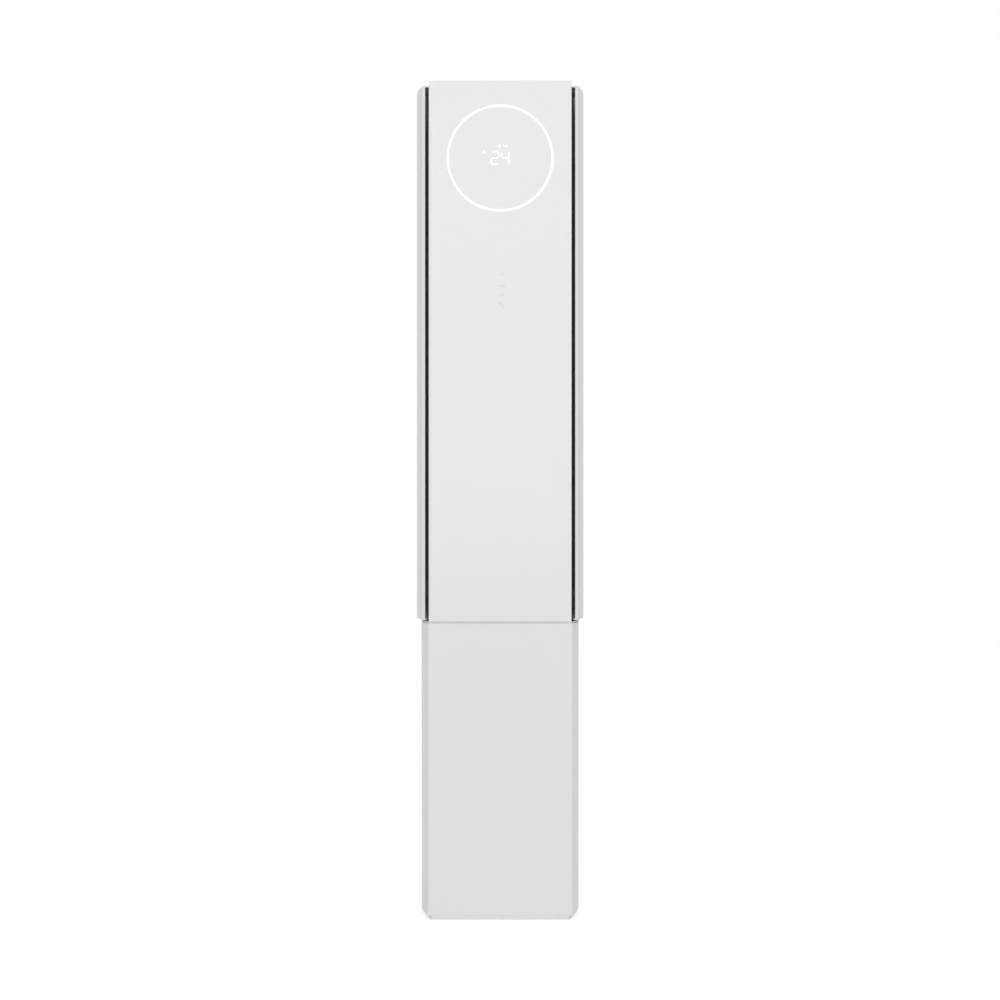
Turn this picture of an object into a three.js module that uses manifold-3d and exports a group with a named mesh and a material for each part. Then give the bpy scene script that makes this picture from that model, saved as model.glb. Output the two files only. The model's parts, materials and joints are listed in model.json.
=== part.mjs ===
// A tower-shaped indoor air conditioner that stands on the floor.
// Room air enters through two filter cassettes at the back, is cooled by an upright evaporator, and three
// stacked centrifugal fans blow it out of a tall slot on each side of the front panel. A curved wing
// beside each slot slides out on racks to open it, and a tall vane in the slot steers the air.
// Millimetres, +Z up, +X to the viewer's right, the front faces -Y, the origin is on the floor at the
// middle of the footprint.
import * as THREE from "three";
import { mergeVertices } from "three/addons/utils/BufferGeometryUtils.js";
import Module from "manifold-3d";

const wasm = await Module();
wasm.setup();

// ---- Driving dimensions --------------------------------------------------------------------------

const HEIGHT = 1855;
const DEPTH = 320;
const FRONT_WIDTH = 320; // across the flat front face
const SIDE_DROP = 18.2; // each side's widest place stands this far outside the front face's edge
const WIDEST_BACK = 230; // from the front face to the widest place
const REAR_CORNER = 45; // radius of the two rear corners in plan
const FRONT_CORNER = 4; // rounding of the two front corners in plan
const CABINET_TOP = 654.4; // top of the lower cabinet
const PARTING_BACK = 244; // from the front face to where front and rear covers meet
const SEAT_GAP = 0.3; // between pieces that seat on each other
const RUN_GAP = 0.3; // round a shaft or pin that turns, and beside a rack that slides

const FOOT_RADIUS = 18;
const FOOT_STEM_RADIUS = 9;
const FOOT_PAD_HEIGHT = 4;
const FOOT_EDGE = 42; // from the edges of the front face and of the depth to a foot's centre
const PLINTH_CLEAR = 2; // the plinth's skirt stays this far off the floor
const PLINTH_TOP = 9.7;
const PLINTH_INSET = 3;
const PLINTH_WALL = 3;
const PLATE_THICK = 3;

const COVER_WALL = 2.8;
const COVER_LIP = 6; // width of the shelf that the front cover turns in at its top
const COVER_LIP_THICK = 3;
const DECK_THICK = 4; // the shelf between the lower and the upper half
const DECK_INSET = 8;
const DECK_REAR_INSET = 1.5;

const PANEL_SIDE_STEP = 2.2; // each side edge of the panel is this far inside the front face's edge
const PANEL_REVEAL = 4.2; // gap between the lower cabinet and the panel
const PANEL_THICK = 12;
const PANEL_SKIN = 4;
const PANEL_RIM = 5;
const PANEL_TOP_RIM = 17;
const PANEL_EDGE_ROUND = 2;

const FRAME_THICK = 3;
const FRAME_WALL_SETBACK = 2; // the frame's side walls hide this far behind the panel's edge
const FRAME_WALL_DEPTH = 14;
const FRAME_DEPTH = 21.7; // front plate to the posts behind it
const TOP_COVER_THICK = 6;
const TOP_DROP = 10.6; // from the panel's top edge down to the top cover's top face

const POST_SIZE = 20;
const POST_WALL = 2;
const POST_INSET = 34; // from the front face's side edge in to a post's centre
const REAR_POST_INSET = 30; // from the back face to the rear posts

const WING_PROUD = 10.5; // the wings stand this far outside the cabinet's side
const WING_WALL = 4;
const WING_SETBACK = 12; // front edge of a wing behind the front face
const WING_NOSE = 11; // length of the rounded front edge
const WING_TIP_ROUND = 1;
const WING_REAR_GAP = 4; // between a wing's rear edge and the plane where the covers meet
const WING_REVEAL = 8.2; // gap between the lower cabinet and a wing
const WING_CAP_PROUD = 0.2; // a wing's top stands this far over the top cover
const WING_CLOSE_TRAVEL = 6;
const WING_CAP_THICK = 3;
const WING_CAP_CLEAR = 1.2;
const OUTLET_WIDTH = 8.2; // between the panel's edge and the wing's front edge

const RING_DROP = 171; // from the panel's top edge down to the light ring's centre
const RING_OUTER = 118.6;
const RING_WIDTH = 5.6;
const RING_DEPTH = 2.5;
const BOARD_THICK = 1.6;
const DISPLAY_BOARD_RADIUS = 122;
const DISPLAY_BLOCK_WIDTH = 70;
const DISPLAY_BLOCK_HEIGHT = 54;
const TOUCH_DROP = 292; // from the ring's centre down to the touch marks' middle
const TOUCH_WIDTH = 40;
const TOUCH_HEIGHT = 100;
const TOUCH_STUD_HEIGHT = 16;

const CASING_WALL = 3;
const CASING_STEP = 9; // the casing is this much narrower where a wing slides over it
const WINDOW_INSET = 16.5; // each side edge of the rear windows is this far inside the coil's end
const WINDOW_RISE = 47; // from the casing's bottom to the lower window
const WINDOW_DROP = 54.4; // from the top cover's top face down to the upper window and the coil
const WINDOW_BAR = 12; // crossbar between the two cassettes
const WINDOW_LEDGE = 6;
const WINDOW_FRAME = 6;
const CASSETTE_DEPTH = 12;
const CASSETTE_RIM = 12;
const CASSETTE_CLEAR = 0.6;
const CASSETTE_MULLION = 8;
const SLOT_PITCH = 24;
const SLOT_HEIGHT = 17;
const FINGER_WIDTH = 60;
const FINGER_HEIGHT = 16;
const FINGER_DEPTH = 7;
const FILTER_THICK = 6;

const FAN_COUNT = 3;
const FAN_RISE = 221; // from the casing's bottom to the lowest fan's axis
const FAN_DROP = 244.4; // from the top cover's top face down to the highest fan's axis
const FAN_RADIUS = 105;
const FAN_DEPTH = 73;
const FAN_EYE_RADIUS = 82;
const FAN_PLATE = 3;
const FAN_HUB_RADIUS = 14;
const FAN_HUB_LENGTH = 40;
const FAN_BLADES = 16;
const FAN_BLADE_THICK = 2.2;
const FAN_BLADE_EDGE = 2; // a blade stays this far inside the wheel's rim and eye
const FAN_BLADE_TURN = 0.55; // radians from the radius
const FAN_SHAFT_RADIUS = 4;
const FAN_SHAFT_PROUD = 6; // the shaft's end stands this far out of the hub
const FAN_BACK = 151; // from the front face to the fans' open side
const MOTOR_RADIUS = 42;
const MOTOR_GAP = 4; // between a motor and its wheel
const MOTOR_BORE_DEPTH = 14;
const RAIL_WIDTH = 60;
const RAIL_THICK = 3;
const BULKHEAD_THICK = 3;
const INLET_RADIUS = 72;
const INLET_WALL = 3;
const INLET_REACH = 10;
const INLET_GAP = 3; // between an inlet ring and its wheel

const COIL_ROOM = 34.2; // between the coil's end and the casing's side, for bends and header
const COIL_DEPTH = 45;
const COIL_GAP = 23; // between the bulkhead and the coil
const COIL_RISE = 31; // from the casing's bottom to the coil
const COIL_PLATE = 2;
const COIL_FIN = 1.2;
const COIL_FINS = 31;
const COIL_STRIP = 1.5;
const BEND_RADIUS = 4.8;
const BEND_REACH = 8;
const BEND_PITCH = 50;
const BEND_FIRST = 40; // from the coil's bottom to the lowest return bend
const HEADER_RADIUS = 7;
const HEADER_LENGTH = 320;
const HEADER_LINK_HEIGHT = 20;
const HEADER_FOOT_HEIGHT = 14;
const HEADER_OUT = 18.8; // header's axis outside the coil's end plate
const PAN_HEIGHT = 24;
const PAN_WALL = 2;
const PAN_MARGIN = 9; // pan's inside beyond the coil, front and back
const PAN_END_MARGIN = 5;

const GAS_RADIUS = 6.4;
const LIQUID_RADIUS = 3.2;
const PIPE_SPACING = 22;
const PIPE_STRAIGHT = 64.7; // from the deck down to where the pipes turn inwards
const PIPE_BEND_DROP = 110;
const PIPE_TAIL = 180;
const PIPE_INWARD = 50;
const PIPE_DECK_CLEAR = 1; // round each pipe where it goes through the deck
const NUT_HEIGHT = 20;
const NUT_WALL = 5;
const HOSE_RADIUS = 8;
const HOSE_WALL = 2;
const HOSE_INSET = 30; // from a post's centre in to the drain hose
const HOSE_OUTLET = 70;
const HOSE_DROP = 60; // straight part under the pan
const HOSE_CURVE_RISE = 160; // height over the outlet where the hose starts to turn back
const HOSE_CURVE_BACK = 10;
const HOSE_LOW_RISE = 8;
const HOSE_TAIL = 12; // straight part at the outlet
const PIPE_HOLE_RADIUS = 36;
const PIPE_HOLE_HEIGHT = 150;
const HOSE_HOLE_RADIUS = 14;
const GLAND_INSET = 36; // from a post's centre in to the cord gland
const GLAND_HEIGHT = 150;
const GLAND_RADIUS = 12;
const GLAND_BORE = 5;
const GLAND_FLANGE = 16;
const GLAND_FLANGE_THICK = 3;
const GLAND_LENGTH = 22;

const BOX_DROP = 44.4; // from the lower cabinet's top down to the electrical box
const BOX_HEIGHT = 230;
const BOX_DEPTH = 55;
const BOX_WALL = 1.6;
const BOX_LID = 1.6;
const CONTROL_BOARD_MARGIN = 14;
const TRANSFORMER_WIDTH = 50;
const TRANSFORMER_HEIGHT = 50;
const TRANSFORMER_DEPTH = 28.8;
const TRANSFORMER_SIDE = 56; // from the middle to the transformer's centre, to the left
const HEAT_SINK_WIDTH = 61;
const HEAT_SINK_HEIGHT = 50;
const HEAT_SINK_DEPTH = 18;
const HEAT_SINK_SIDE = 40.5;
const CAPACITOR_RADIUS = 14;
const CAPACITOR_DEPTH = 25.2;
const CAPACITOR_SIDE = 40.5;
const COMPONENT_MARGIN = 25; // from the board's edge to a component
const TERMINAL_WIDTH = 84;
const TERMINAL_HEIGHT = 34;
const TERMINAL_DEPTH = 20;
const TERMINAL_SCREWS = 5;
const TERMINAL_RIB = 6; // between two wells, and over and under them

const GEAR_MODULE = 2;
const GEAR_TEETH = 12;
const GEAR_WIDTH = 10;
const GEAR_TIP = 1.6;
const GEAR_ROOT = 2.4;
const GEAR_TOOTH = 2.4; // thickness at the pitch line, well under half a pitch
const SHAFT_RADIUS = 4;
const SHAFT_END = 4; // the shaft's end stands this far over its bearing
const SHAFT_INSET = 20; // from the front face's side edge in to a drive shaft
const SHAFT_BACK = 98; // from the front face to the drive shafts
const RACK_RISE = 61; // from the casing's bottom to a lower rack
const RACK_DROP = 64.4; // from the top cover's top face down to an upper rack
const RACK_HEIGHT = 10;
const RACK_BODY = 9.6;
const RACK_INNER = 22; // a rack's inner end beyond the shaft's axis
const RACK_FOOT_THICK = 4;
const RACK_FOOT_WIDTH = 30;
const RACK_FOOT_HEIGHT = 30;
const GUIDE_WALL = 4;
const GUIDE_MOUTH = 1.9; // the guide's jaws start this far behind the rack's root line
const GUIDE_INNER = 20;
const GUIDE_OUTER = 20;
const BEARING_RISE = 20; // upper bearing above the upper rack
const BEARING_THICK = 6;
const BEARING_HALF = 12;
const WING_MOTOR_RADIUS = 15;
const WING_MOTOR_HEIGHT = 24;
const SHAFT_IN_MOTOR = 12;

const VANE_INSET = 7.8; // from the panel's side edge in to a vane's pivot
const VANE_BACK = 55; // from the front face to a vane's pivot
const VANE_FRONT_REACH = 24;
const VANE_REAR_REACH = 18;
const VANE_THICK = 5;
const VANE_TAIL_THICK = 1.6;
const VANE_REST_DEG = 25;
const VANE_END_GAP = 11;
const VANE_PIN_RADIUS = 3;
const VANE_PIN_LENGTH = 8;
const VANE_PIN_SUNK = 6; // each pin runs this far into the blade
const VANE_TOP_GAP = 2; // between the blade and its upper bearing lug
const COVER_CLEAR = 4; // from the vane's rear edge to where the top cover gets wider
const VANE_LUG_HALF = 8;
const VANE_MOTOR_RADIUS = 9;
const VANE_MOTOR_HEIGHT = 20;
const VANE_PIN_IN_MOTOR = 8;

// ---- Places worked out from the sizes ------------------------------------------------------------

const FRONT = -DEPTH / 2;
const BACK = DEPTH / 2;
const WIDEST = FRONT_WIDTH + 2 * SIDE_DROP; // across the cabinet, without the wings
const WIDEST_Y = FRONT + WIDEST_BACK;
const PARTING_Y = FRONT + PARTING_BACK;
const WING_BACK = PARTING_BACK - WING_REAR_GAP;
const PANEL_WIDTH = FRONT_WIDTH - 2 * PANEL_SIDE_STEP;
const POST_CENTRE = FRONT_WIDTH / 2 - POST_INSET;
const HOSE_SIDE = POST_CENTRE - HOSE_INSET;
const GLAND_SIDE = POST_CENTRE - GLAND_INSET;
const SHAFT_SIDE = FRONT_WIDTH / 2 - SHAFT_INSET;
const VANE_SIDE = PANEL_WIDTH / 2 - VANE_INSET;
const SIDE_RADIUS = (WIDEST_BACK ** 2 + SIDE_DROP ** 2) / (2 * SIDE_DROP);
const DECK_BOTTOM = CABINET_TOP + SEAT_GAP;
const DECK_TOP = DECK_BOTTOM + DECK_THICK;
const UPPER_BOTTOM = DECK_TOP + SEAT_GAP;
const UPPER_TOP = HEIGHT - TOP_DROP;
const TOP_COVER_BOTTOM = UPPER_TOP - TOP_COVER_THICK;
const UNDER_TOP = TOP_COVER_BOTTOM - SEAT_GAP;
const COVER_BOTTOM = PLINTH_TOP + SEAT_GAP;
const PANEL_BOTTOM = CABINET_TOP + PANEL_REVEAL;
const WING_BOTTOM = CABINET_TOP + WING_REVEAL;
const WING_TOP = UPPER_TOP + WING_CAP_PROUD;
const RING_CENTRE = HEIGHT - RING_DROP;
const TOUCH_CENTRE = RING_CENTRE - TOUCH_DROP;
const WINDOW_BOTTOM = UPPER_BOTTOM + WINDOW_RISE;
const WINDOW_TOP = UPPER_TOP - WINDOW_DROP;
const COIL_BOTTOM = UPPER_BOTTOM + COIL_RISE;
const COIL_TOP = WINDOW_TOP;
const RACK_LOW = UPPER_BOTTOM + RACK_RISE;
const RACK_HIGH = UPPER_TOP - RACK_DROP;
const FAN_FIRST = UPPER_BOTTOM + FAN_RISE;
const FAN_SPACING = (UPPER_TOP - FAN_DROP - FAN_FIRST) / (FAN_COUNT - 1);
const BOX_TOP = CABINET_TOP - BOX_DROP;
const BOX_BOTTOM = BOX_TOP - BOX_HEIGHT;
const PIPE_BEND_TOP = DECK_BOTTOM - PIPE_STRAIGHT;
const PIPE_BEND_BOTTOM = PIPE_BEND_TOP - PIPE_BEND_DROP;
const PIPE_END = PIPE_BEND_BOTTOM - PIPE_TAIL;
const FRAME_FRONT = FRONT + PANEL_THICK + SEAT_GAP;
const FRAME_BACK = FRAME_FRONT + FRAME_DEPTH;
const POST_FRONT = FRAME_BACK + SEAT_GAP;
const FAN_OPEN_Y = FRONT + FAN_BACK;
const FAN_CLOSED_Y = FAN_OPEN_Y - FAN_DEPTH;
const RAIL_FRONT = POST_FRONT;
const RAIL_BACK = RAIL_FRONT + RAIL_THICK;
const MOTOR_FRONT = RAIL_BACK + SEAT_GAP;
const MOTOR_BACK = FAN_CLOSED_Y - MOTOR_GAP;
const BULKHEAD_FRONT = FAN_OPEN_Y + INLET_GAP + INLET_REACH;
const BULKHEAD_REAR = BULKHEAD_FRONT + BULKHEAD_THICK;
const CASING_FRONT = BULKHEAD_REAR + SEAT_GAP;
const CASING_NARROW = WIDEST / 2 - CASING_STEP;
const COIL_WIDTH = 2 * (CASING_NARROW - COIL_ROOM);
const WINDOW_WIDTH = COIL_WIDTH - 2 * WINDOW_INSET;
const COIL_Y0 = BULKHEAD_REAR + COIL_GAP;
const COIL_Y1 = COIL_Y0 + COIL_DEPTH;
const COIL_MID_Y = (COIL_Y0 + COIL_Y1) / 2;
const COIL_END = COIL_WIDTH / 2 + SEAT_GAP + COIL_PLATE;
const HEADER_X = COIL_END + HEADER_OUT;
const GEAR_PITCH = Math.PI * GEAR_MODULE;
const GEAR_RADIUS = (GEAR_MODULE * GEAR_TEETH) / 2;
const SHAFT_Y = FRONT + SHAFT_BACK;
const RACK_PITCH_Y = SHAFT_Y + GEAR_RADIUS;
const RACK_ROOT_Y = RACK_PITCH_Y + GEAR_ROOT;
const RACK_BACK_Y = RACK_ROOT_Y + RACK_BODY;
const VANE_Y = FRONT + VANE_BACK;
const OUT = 50; // a cut runs this far past what it cuts
const ROOT = 1; // a joined boss or arm starts this far inside its parent

// ---- Colours and finishes ------------------------------------------------------------------------

function finish(color, roughness, metalness) {
  return new THREE.MeshStandardMaterial({ color, roughness, metalness });
}

const WHITE = finish("#e6e6e8", 0.35, 0);
const PANEL_WHITE = finish("#ececee", 0.18, 0);
const LIGHT = finish("#ffffff", 0.3, 0);
const DARK = finish("#34363a", 0.6, 0);
const STEEL = finish("#a9adb2", 0.45, 0.8);
const ALUMINIUM = finish("#c8ccd0", 0.4, 0.8);
const COPPER = finish("#b56a45", 0.35, 0.9);
const BRASS = finish("#b08d46", 0.35, 0.9);
const BOARD = finish("#1d5a3c", 0.6, 0);
const RUBBER = finish("#2a2a2b", 0.9, 0);
const NYLON = finish("#d9d9d4", 0.55, 0);
const FAN_PLASTIC = finish("#55585c", 0.55, 0);
const MESH = finish("#3c4046", 0.8, 0);

// ---- Shape helpers -------------------------------------------------------------------------------

// Sides of round pieces: small pins and bores, small bosses, and wide rings.
const PIN_SIDES = 12;
const COARSE = 16;
const FINE = 28;
const HEXAGON = 6;
const TUBE_SIDES = 8;
const TUBE_STEPS = 20;

function solidOf(geometry) {
  geometry.deleteAttribute("normal");
  geometry.deleteAttribute("uv");
  const merged = mergeVertices(geometry, 1e-3);
  return new wasm.Manifold(
    new wasm.Mesh({
      numProp: 3,
      vertProperties: merged.attributes.position.array,
      triVerts: new Uint32Array(merged.index.array),
    }),
  );
}

function geometryOf(solid) {
  const mesh = solid.getMesh();
  const geometry = new THREE.BufferGeometry();
  geometry.setAttribute("position", new THREE.BufferAttribute(mesh.vertProperties, 3));
  geometry.setIndex(new THREE.BufferAttribute(mesh.triVerts, 1));
  const faceted = geometry.toNonIndexed();
  faceted.computeVertexNormals();
  return faceted;
}

function join(solids) {
  return solids.reduce((all, next) => all.add(next));
}

function cut(solid, tools) {
  return tools.reduce((left, tool) => left.subtract(tool), solid);
}

function box(x0, x1, y0, y1, z0, z1) {
  const geometry = new THREE.BoxGeometry(x1 - x0, y1 - y0, z1 - z0);
  geometry.translate((x0 + x1) / 2, (y0 + y1) / 2, (z0 + z1) / 2);
  return solidOf(geometry);
}

// A box that is symmetric about the middle plane.
function midBox(width, y0, y1, z0, z1) {
  return box(-width / 2, width / 2, y0, y1, z0, z1);
}

// An upright cylinder.
function rod(x, y, radius, z0, z1, sides = COARSE) {
  const geometry = new THREE.CylinderGeometry(radius, radius, z1 - z0, sides);
  geometry.rotateX(Math.PI / 2);
  geometry.translate(x, y, (z0 + z1) / 2);
  return solidOf(geometry);
}

// A cylinder whose axis runs front to back.
function drum(x, z, radius, y0, y1, sides = FINE) {
  const geometry = new THREE.CylinderGeometry(radius, radius, y1 - y0, sides);
  geometry.translate(x, (y0 + y1) / 2, z);
  return solidOf(geometry);
}

function prism(shape, z0, z1, curveSegments = 6) {
  const geometry = new THREE.ExtrudeGeometry(shape, {
    depth: z1 - z0,
    bevelEnabled: false,
    curveSegments,
  });
  geometry.translate(0, 0, z0);
  return solidOf(geometry);
}

function tube(points, radius) {
  const section = new THREE.Shape();
  section.absarc(0, 0, radius, 0, 2 * Math.PI);
  const path = new THREE.CatmullRomCurve3(points.map((p) => new THREE.Vector3(...p)));
  path.curveType = "centripetal";
  return solidOf(
    new THREE.ExtrudeGeometry(section, {
      extrudePath: path,
      steps: TUBE_STEPS,
      curveSegments: TUBE_SIDES / 2,
      bevelEnabled: false,
    }),
  );
}

// ---- The plan outline shared by the cabinet, the plinth, the casing and the wings ----------------

// Half width of the outline at a depth y, moved in by inset.
function sideX(y, inset) {
  if (y >= WIDEST_Y) return WIDEST / 2 - inset;
  const radius = SIDE_RADIUS - inset;
  return WIDEST / 2 - SIDE_RADIUS + Math.sqrt(radius ** 2 - (WIDEST_Y - y) ** 2);
}

const SIDE_STEPS = 6;
const CORNER_STEPS = 5;
const SHARPEST = 0.5; // least rounding of a front corner
const ARC_MIDDLE = 0.3; // a quarter circle's middle lies this share of its radius in from each tangent

// Half of the outline, from the front's middle round to the back's middle.
function halfOutline(inset) {
  const points = [];
  const front = FRONT + inset;
  const corner = Math.max(FRONT_CORNER - inset, SHARPEST);
  const edge = sideX(front, inset);
  points.push([edge - corner, front]);
  points.push([edge - corner * ARC_MIDDLE, front + corner * ARC_MIDDLE]);
  for (let i = 0; i <= SIDE_STEPS; i += 1) {
    const y = front + corner + ((WIDEST_Y - front - corner) * i) / SIDE_STEPS;
    points.push([sideX(y, inset), y]);
  }
  for (let i = 0; i <= CORNER_STEPS; i += 1) {
    const turn = (Math.PI / 2) * (i / CORNER_STEPS);
    const radius = REAR_CORNER - inset;
    points.push([
      WIDEST / 2 - REAR_CORNER + radius * Math.cos(turn),
      BACK - REAR_CORNER + radius * Math.sin(turn),
    ]);
  }
  return points;
}

function outline(inset, z0, z1) {
  const half = halfOutline(inset);
  const other = half.map(([x, y]) => [-x, y]).reverse();
  const all = [...half, ...other].map(([x, y]) => new THREE.Vector2(x, y));
  return prism(new THREE.Shape(all), z0, z1);
}

function between(y0, y1, z0, z1) {
  return midBox(2 * WIDEST, y0, y1, z0, z1);
}

// ---- Base and lower cabinet ----------------------------------------------------------------------

const PLATE_BOTTOM = PLINTH_TOP - PLATE_THICK;

function basePlate() {
  const outer = outline(PLINTH_INSET, PLINTH_CLEAR, PLINTH_TOP);
  const hollow = outline(PLINTH_INSET + PLINTH_WALL, PLINTH_CLEAR - OUT, PLATE_BOTTOM);
  return outer.subtract(hollow);
}

function foot(side, y) {
  const x = side * (FRONT_WIDTH / 2 - FOOT_EDGE);
  const pad = rod(x, y, FOOT_RADIUS, 0, FOOT_PAD_HEIGHT);
  const stem = rod(x, y, FOOT_STEM_RADIUS, 0, PLATE_BOTTOM - SEAT_GAP);
  return pad.add(stem);
}

function lowerFrontCover() {
  const shell = outline(0, COVER_BOTTOM, CABINET_TOP).subtract(
    outline(COVER_WALL, COVER_BOTTOM - OUT, CABINET_TOP + OUT),
  );
  const lip = outline(0, CABINET_TOP - COVER_LIP_THICK, CABINET_TOP).subtract(
    outline(COVER_LIP, CABINET_TOP - OUT, CABINET_TOP + OUT),
  );
  return shell.add(lip).intersect(between(FRONT - OUT, PARTING_Y, 0, HEIGHT));
}

function lowerRearCover() {
  const shell = outline(0, COVER_BOTTOM, CABINET_TOP)
    .subtract(outline(COVER_WALL, COVER_BOTTOM - OUT, CABINET_TOP + OUT))
    .intersect(between(PARTING_Y + SEAT_GAP, BACK + OUT, 0, HEIGHT));
  const wall = [BACK - OUT, BACK + OUT];
  return cut(shell, [
    drum(0, PIPE_HOLE_HEIGHT, PIPE_HOLE_RADIUS, ...wall),
    drum(-HOSE_SIDE, HOSE_OUTLET, HOSE_HOLE_RADIUS, ...wall, COARSE),
    drum(GLAND_SIDE, GLAND_HEIGHT, GLAND_RADIUS + SEAT_GAP, ...wall, COARSE),
  ]);
}

function channelPost(x, y0, z0, z1, openTowards) {
  const half = POST_SIZE / 2;
  const outer = box(x - half, x + half, y0, y0 + POST_SIZE, z0, z1);
  const shift = openTowards * POST_WALL;
  const inner = box(
    x - half + POST_WALL + shift,
    x + half - POST_WALL + shift,
    y0 + POST_WALL,
    y0 + POST_SIZE - POST_WALL,
    z0 - OUT,
    z1 + OUT,
  );
  return outer.subtract(inner);
}

const REAR_POST_Y = BACK - REAR_POST_INSET - POST_SIZE;

function midDeck() {
  const main = outline(DECK_INSET, DECK_BOTTOM, DECK_TOP).intersect(
    between(FRAME_FRONT, BACK + OUT, 0, HEIGHT),
  );
  const rear = outline(DECK_REAR_INSET, DECK_BOTTOM, DECK_TOP).intersect(
    between(PARTING_Y + SEAT_GAP, BACK + OUT, 0, HEIGHT),
  );
  const span = [DECK_BOTTOM - OUT, DECK_TOP + OUT];
  const clear = POST_SIZE / 2 + SEAT_GAP;
  const holes = [];
  for (const side of [-1, 1]) {
    const x = side * POST_CENTRE;
    const front = POST_FRONT - SEAT_GAP;
    holes.push(box(x - clear, x + clear, front, front + 2 * clear, ...span));
    holes.push(rod(side * SHAFT_SIDE, SHAFT_Y, SHAFT_RADIUS + RUN_GAP, ...span));
    holes.push(rod(side * VANE_SIDE, VANE_Y, VANE_PIN_RADIUS + RUN_GAP, ...span));
  }
  holes.push(rod(HEADER_X, COIL_MID_Y, GAS_RADIUS + PIPE_DECK_CLEAR, ...span));
  holes.push(rod(HEADER_X, COIL_MID_Y + PIPE_SPACING, LIQUID_RADIUS + PIPE_DECK_CLEAR, ...span));
  holes.push(rod(-HOSE_SIDE, COIL_MID_Y, HOSE_RADIUS + SEAT_GAP, ...span));
  return cut(main.add(rear), holes);
}

// ---- Electrical box ------------------------------------------------------------------------------

const BOX_HALF = POST_CENTRE - POST_SIZE / 2 - SEAT_GAP;
const BOX_FRONT = POST_FRONT + BOX_LID + SEAT_GAP;
const BOX_REAR = BOX_FRONT + BOX_DEPTH;

function controlBox() {
  const outer = midBox(2 * BOX_HALF, BOX_FRONT, BOX_REAR, BOX_BOTTOM, BOX_TOP);
  const inner = midBox(
    2 * (BOX_HALF - BOX_WALL),
    BOX_FRONT - OUT,
    BOX_REAR - BOX_WALL,
    BOX_BOTTOM + BOX_WALL,
    BOX_TOP - BOX_WALL,
  );
  return outer.subtract(inner);
}

function controlBoxLid() {
  return midBox(2 * BOX_HALF, POST_FRONT, POST_FRONT + BOX_LID, BOX_BOTTOM, BOX_TOP);
}

function controlBoard() {
  const back = BOX_REAR - BOX_WALL - SEAT_GAP;
  const face = back - BOARD_THICK;
  const half = BOX_HALF - CONTROL_BOARD_MARGIN;
  const low = BOX_BOTTOM + CONTROL_BOARD_MARGIN;
  const high = BOX_TOP - CONTROL_BOARD_MARGIN;
  const sheet = midBox(2 * half, face, back, low, high);
  const transformer = box(
    -TRANSFORMER_SIDE - TRANSFORMER_WIDTH / 2,
    -TRANSFORMER_SIDE + TRANSFORMER_WIDTH / 2,
    face - TRANSFORMER_DEPTH,
    face,
    low + COMPONENT_MARGIN,
    low + COMPONENT_MARGIN + TRANSFORMER_HEIGHT,
  );
  const heatSink = box(
    HEAT_SINK_SIDE - HEAT_SINK_WIDTH / 2,
    HEAT_SINK_SIDE + HEAT_SINK_WIDTH / 2,
    face - HEAT_SINK_DEPTH,
    face,
    high - COMPONENT_MARGIN - HEAT_SINK_HEIGHT,
    high - COMPONENT_MARGIN,
  );
  const capacitorHeight = low + COMPONENT_MARGIN + CAPACITOR_RADIUS;
  const capacitor = drum(
    CAPACITOR_SIDE,
    capacitorHeight,
    CAPACITOR_RADIUS,
    face - CAPACITOR_DEPTH,
    face,
    COARSE,
  );
  return join([sheet, transformer, heatSink, capacitor]);
}

function terminalBlock() {
  const front = BOX_REAR + SEAT_GAP;
  const back = front + TERMINAL_DEPTH;
  const low = BOX_BOTTOM + CONTROL_BOARD_MARGIN;
  const high = low + TERMINAL_HEIGHT;
  const body = midBox(TERMINAL_WIDTH, front, back, low, high);
  const wells = [];
  const step = TERMINAL_WIDTH / TERMINAL_SCREWS;
  const half = (step - TERMINAL_RIB) / 2;
  const floor = back - TERMINAL_DEPTH / 2;
  for (let i = 0; i < TERMINAL_SCREWS; i += 1) {
    const x = -TERMINAL_WIDTH / 2 + step * (i + 0.5);
    wells.push(box(x - half, x + half, floor, back + OUT, low + TERMINAL_RIB, high - TERMINAL_RIB));
  }
  return cut(body, wells);
}

function cordGland() {
  const flange = drum(
    GLAND_SIDE,
    GLAND_HEIGHT,
    GLAND_FLANGE,
    BACK - COVER_WALL - SEAT_GAP - GLAND_FLANGE_THICK,
    BACK - COVER_WALL - SEAT_GAP,
    COARSE,
  );
  const inner = BACK - GLAND_LENGTH;
  const barrel = drum(GLAND_SIDE, GLAND_HEIGHT, GLAND_RADIUS, inner, BACK, COARSE);
  const bore = drum(GLAND_SIDE, GLAND_HEIGHT, GLAND_BORE, inner - OUT, BACK + OUT, PIN_SIDES);
  return flange.add(barrel).subtract(bore);
}

// ---- Refrigerant pipes and drain -----------------------------------------------------------------

function pipe(y, radius) {
  const inner = HEADER_X - PIPE_INWARD;
  const straight = (PIPE_BEND_TOP - PIPE_BEND_BOTTOM) / 3;
  return tube(
    [
      [HEADER_X, y, COIL_BOTTOM - SEAT_GAP],
      [HEADER_X, y, PIPE_BEND_TOP + straight],
      [HEADER_X, y, PIPE_BEND_TOP],
      [(HEADER_X + inner) / 2, y, (PIPE_BEND_TOP + PIPE_BEND_BOTTOM) / 2],
      [inner, y, PIPE_BEND_BOTTOM],
      [inner, y, PIPE_BEND_BOTTOM - straight],
      [inner, y, PIPE_END],
    ],
    radius,
  );
}

function flareNut(y, radius) {
  const x = HEADER_X - PIPE_INWARD;
  const top = PIPE_END - SEAT_GAP;
  const nut = rod(x, y, radius + NUT_WALL, top - NUT_HEIGHT, top, HEXAGON);
  return nut.subtract(rod(x, y, radius, top - NUT_HEIGHT - OUT, top - NUT_HEIGHT / 2, PIN_SIDES));
}

const PAN_BOTTOM = UPPER_BOTTOM;
const PAN_TOP = PAN_BOTTOM + PAN_HEIGHT;

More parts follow.
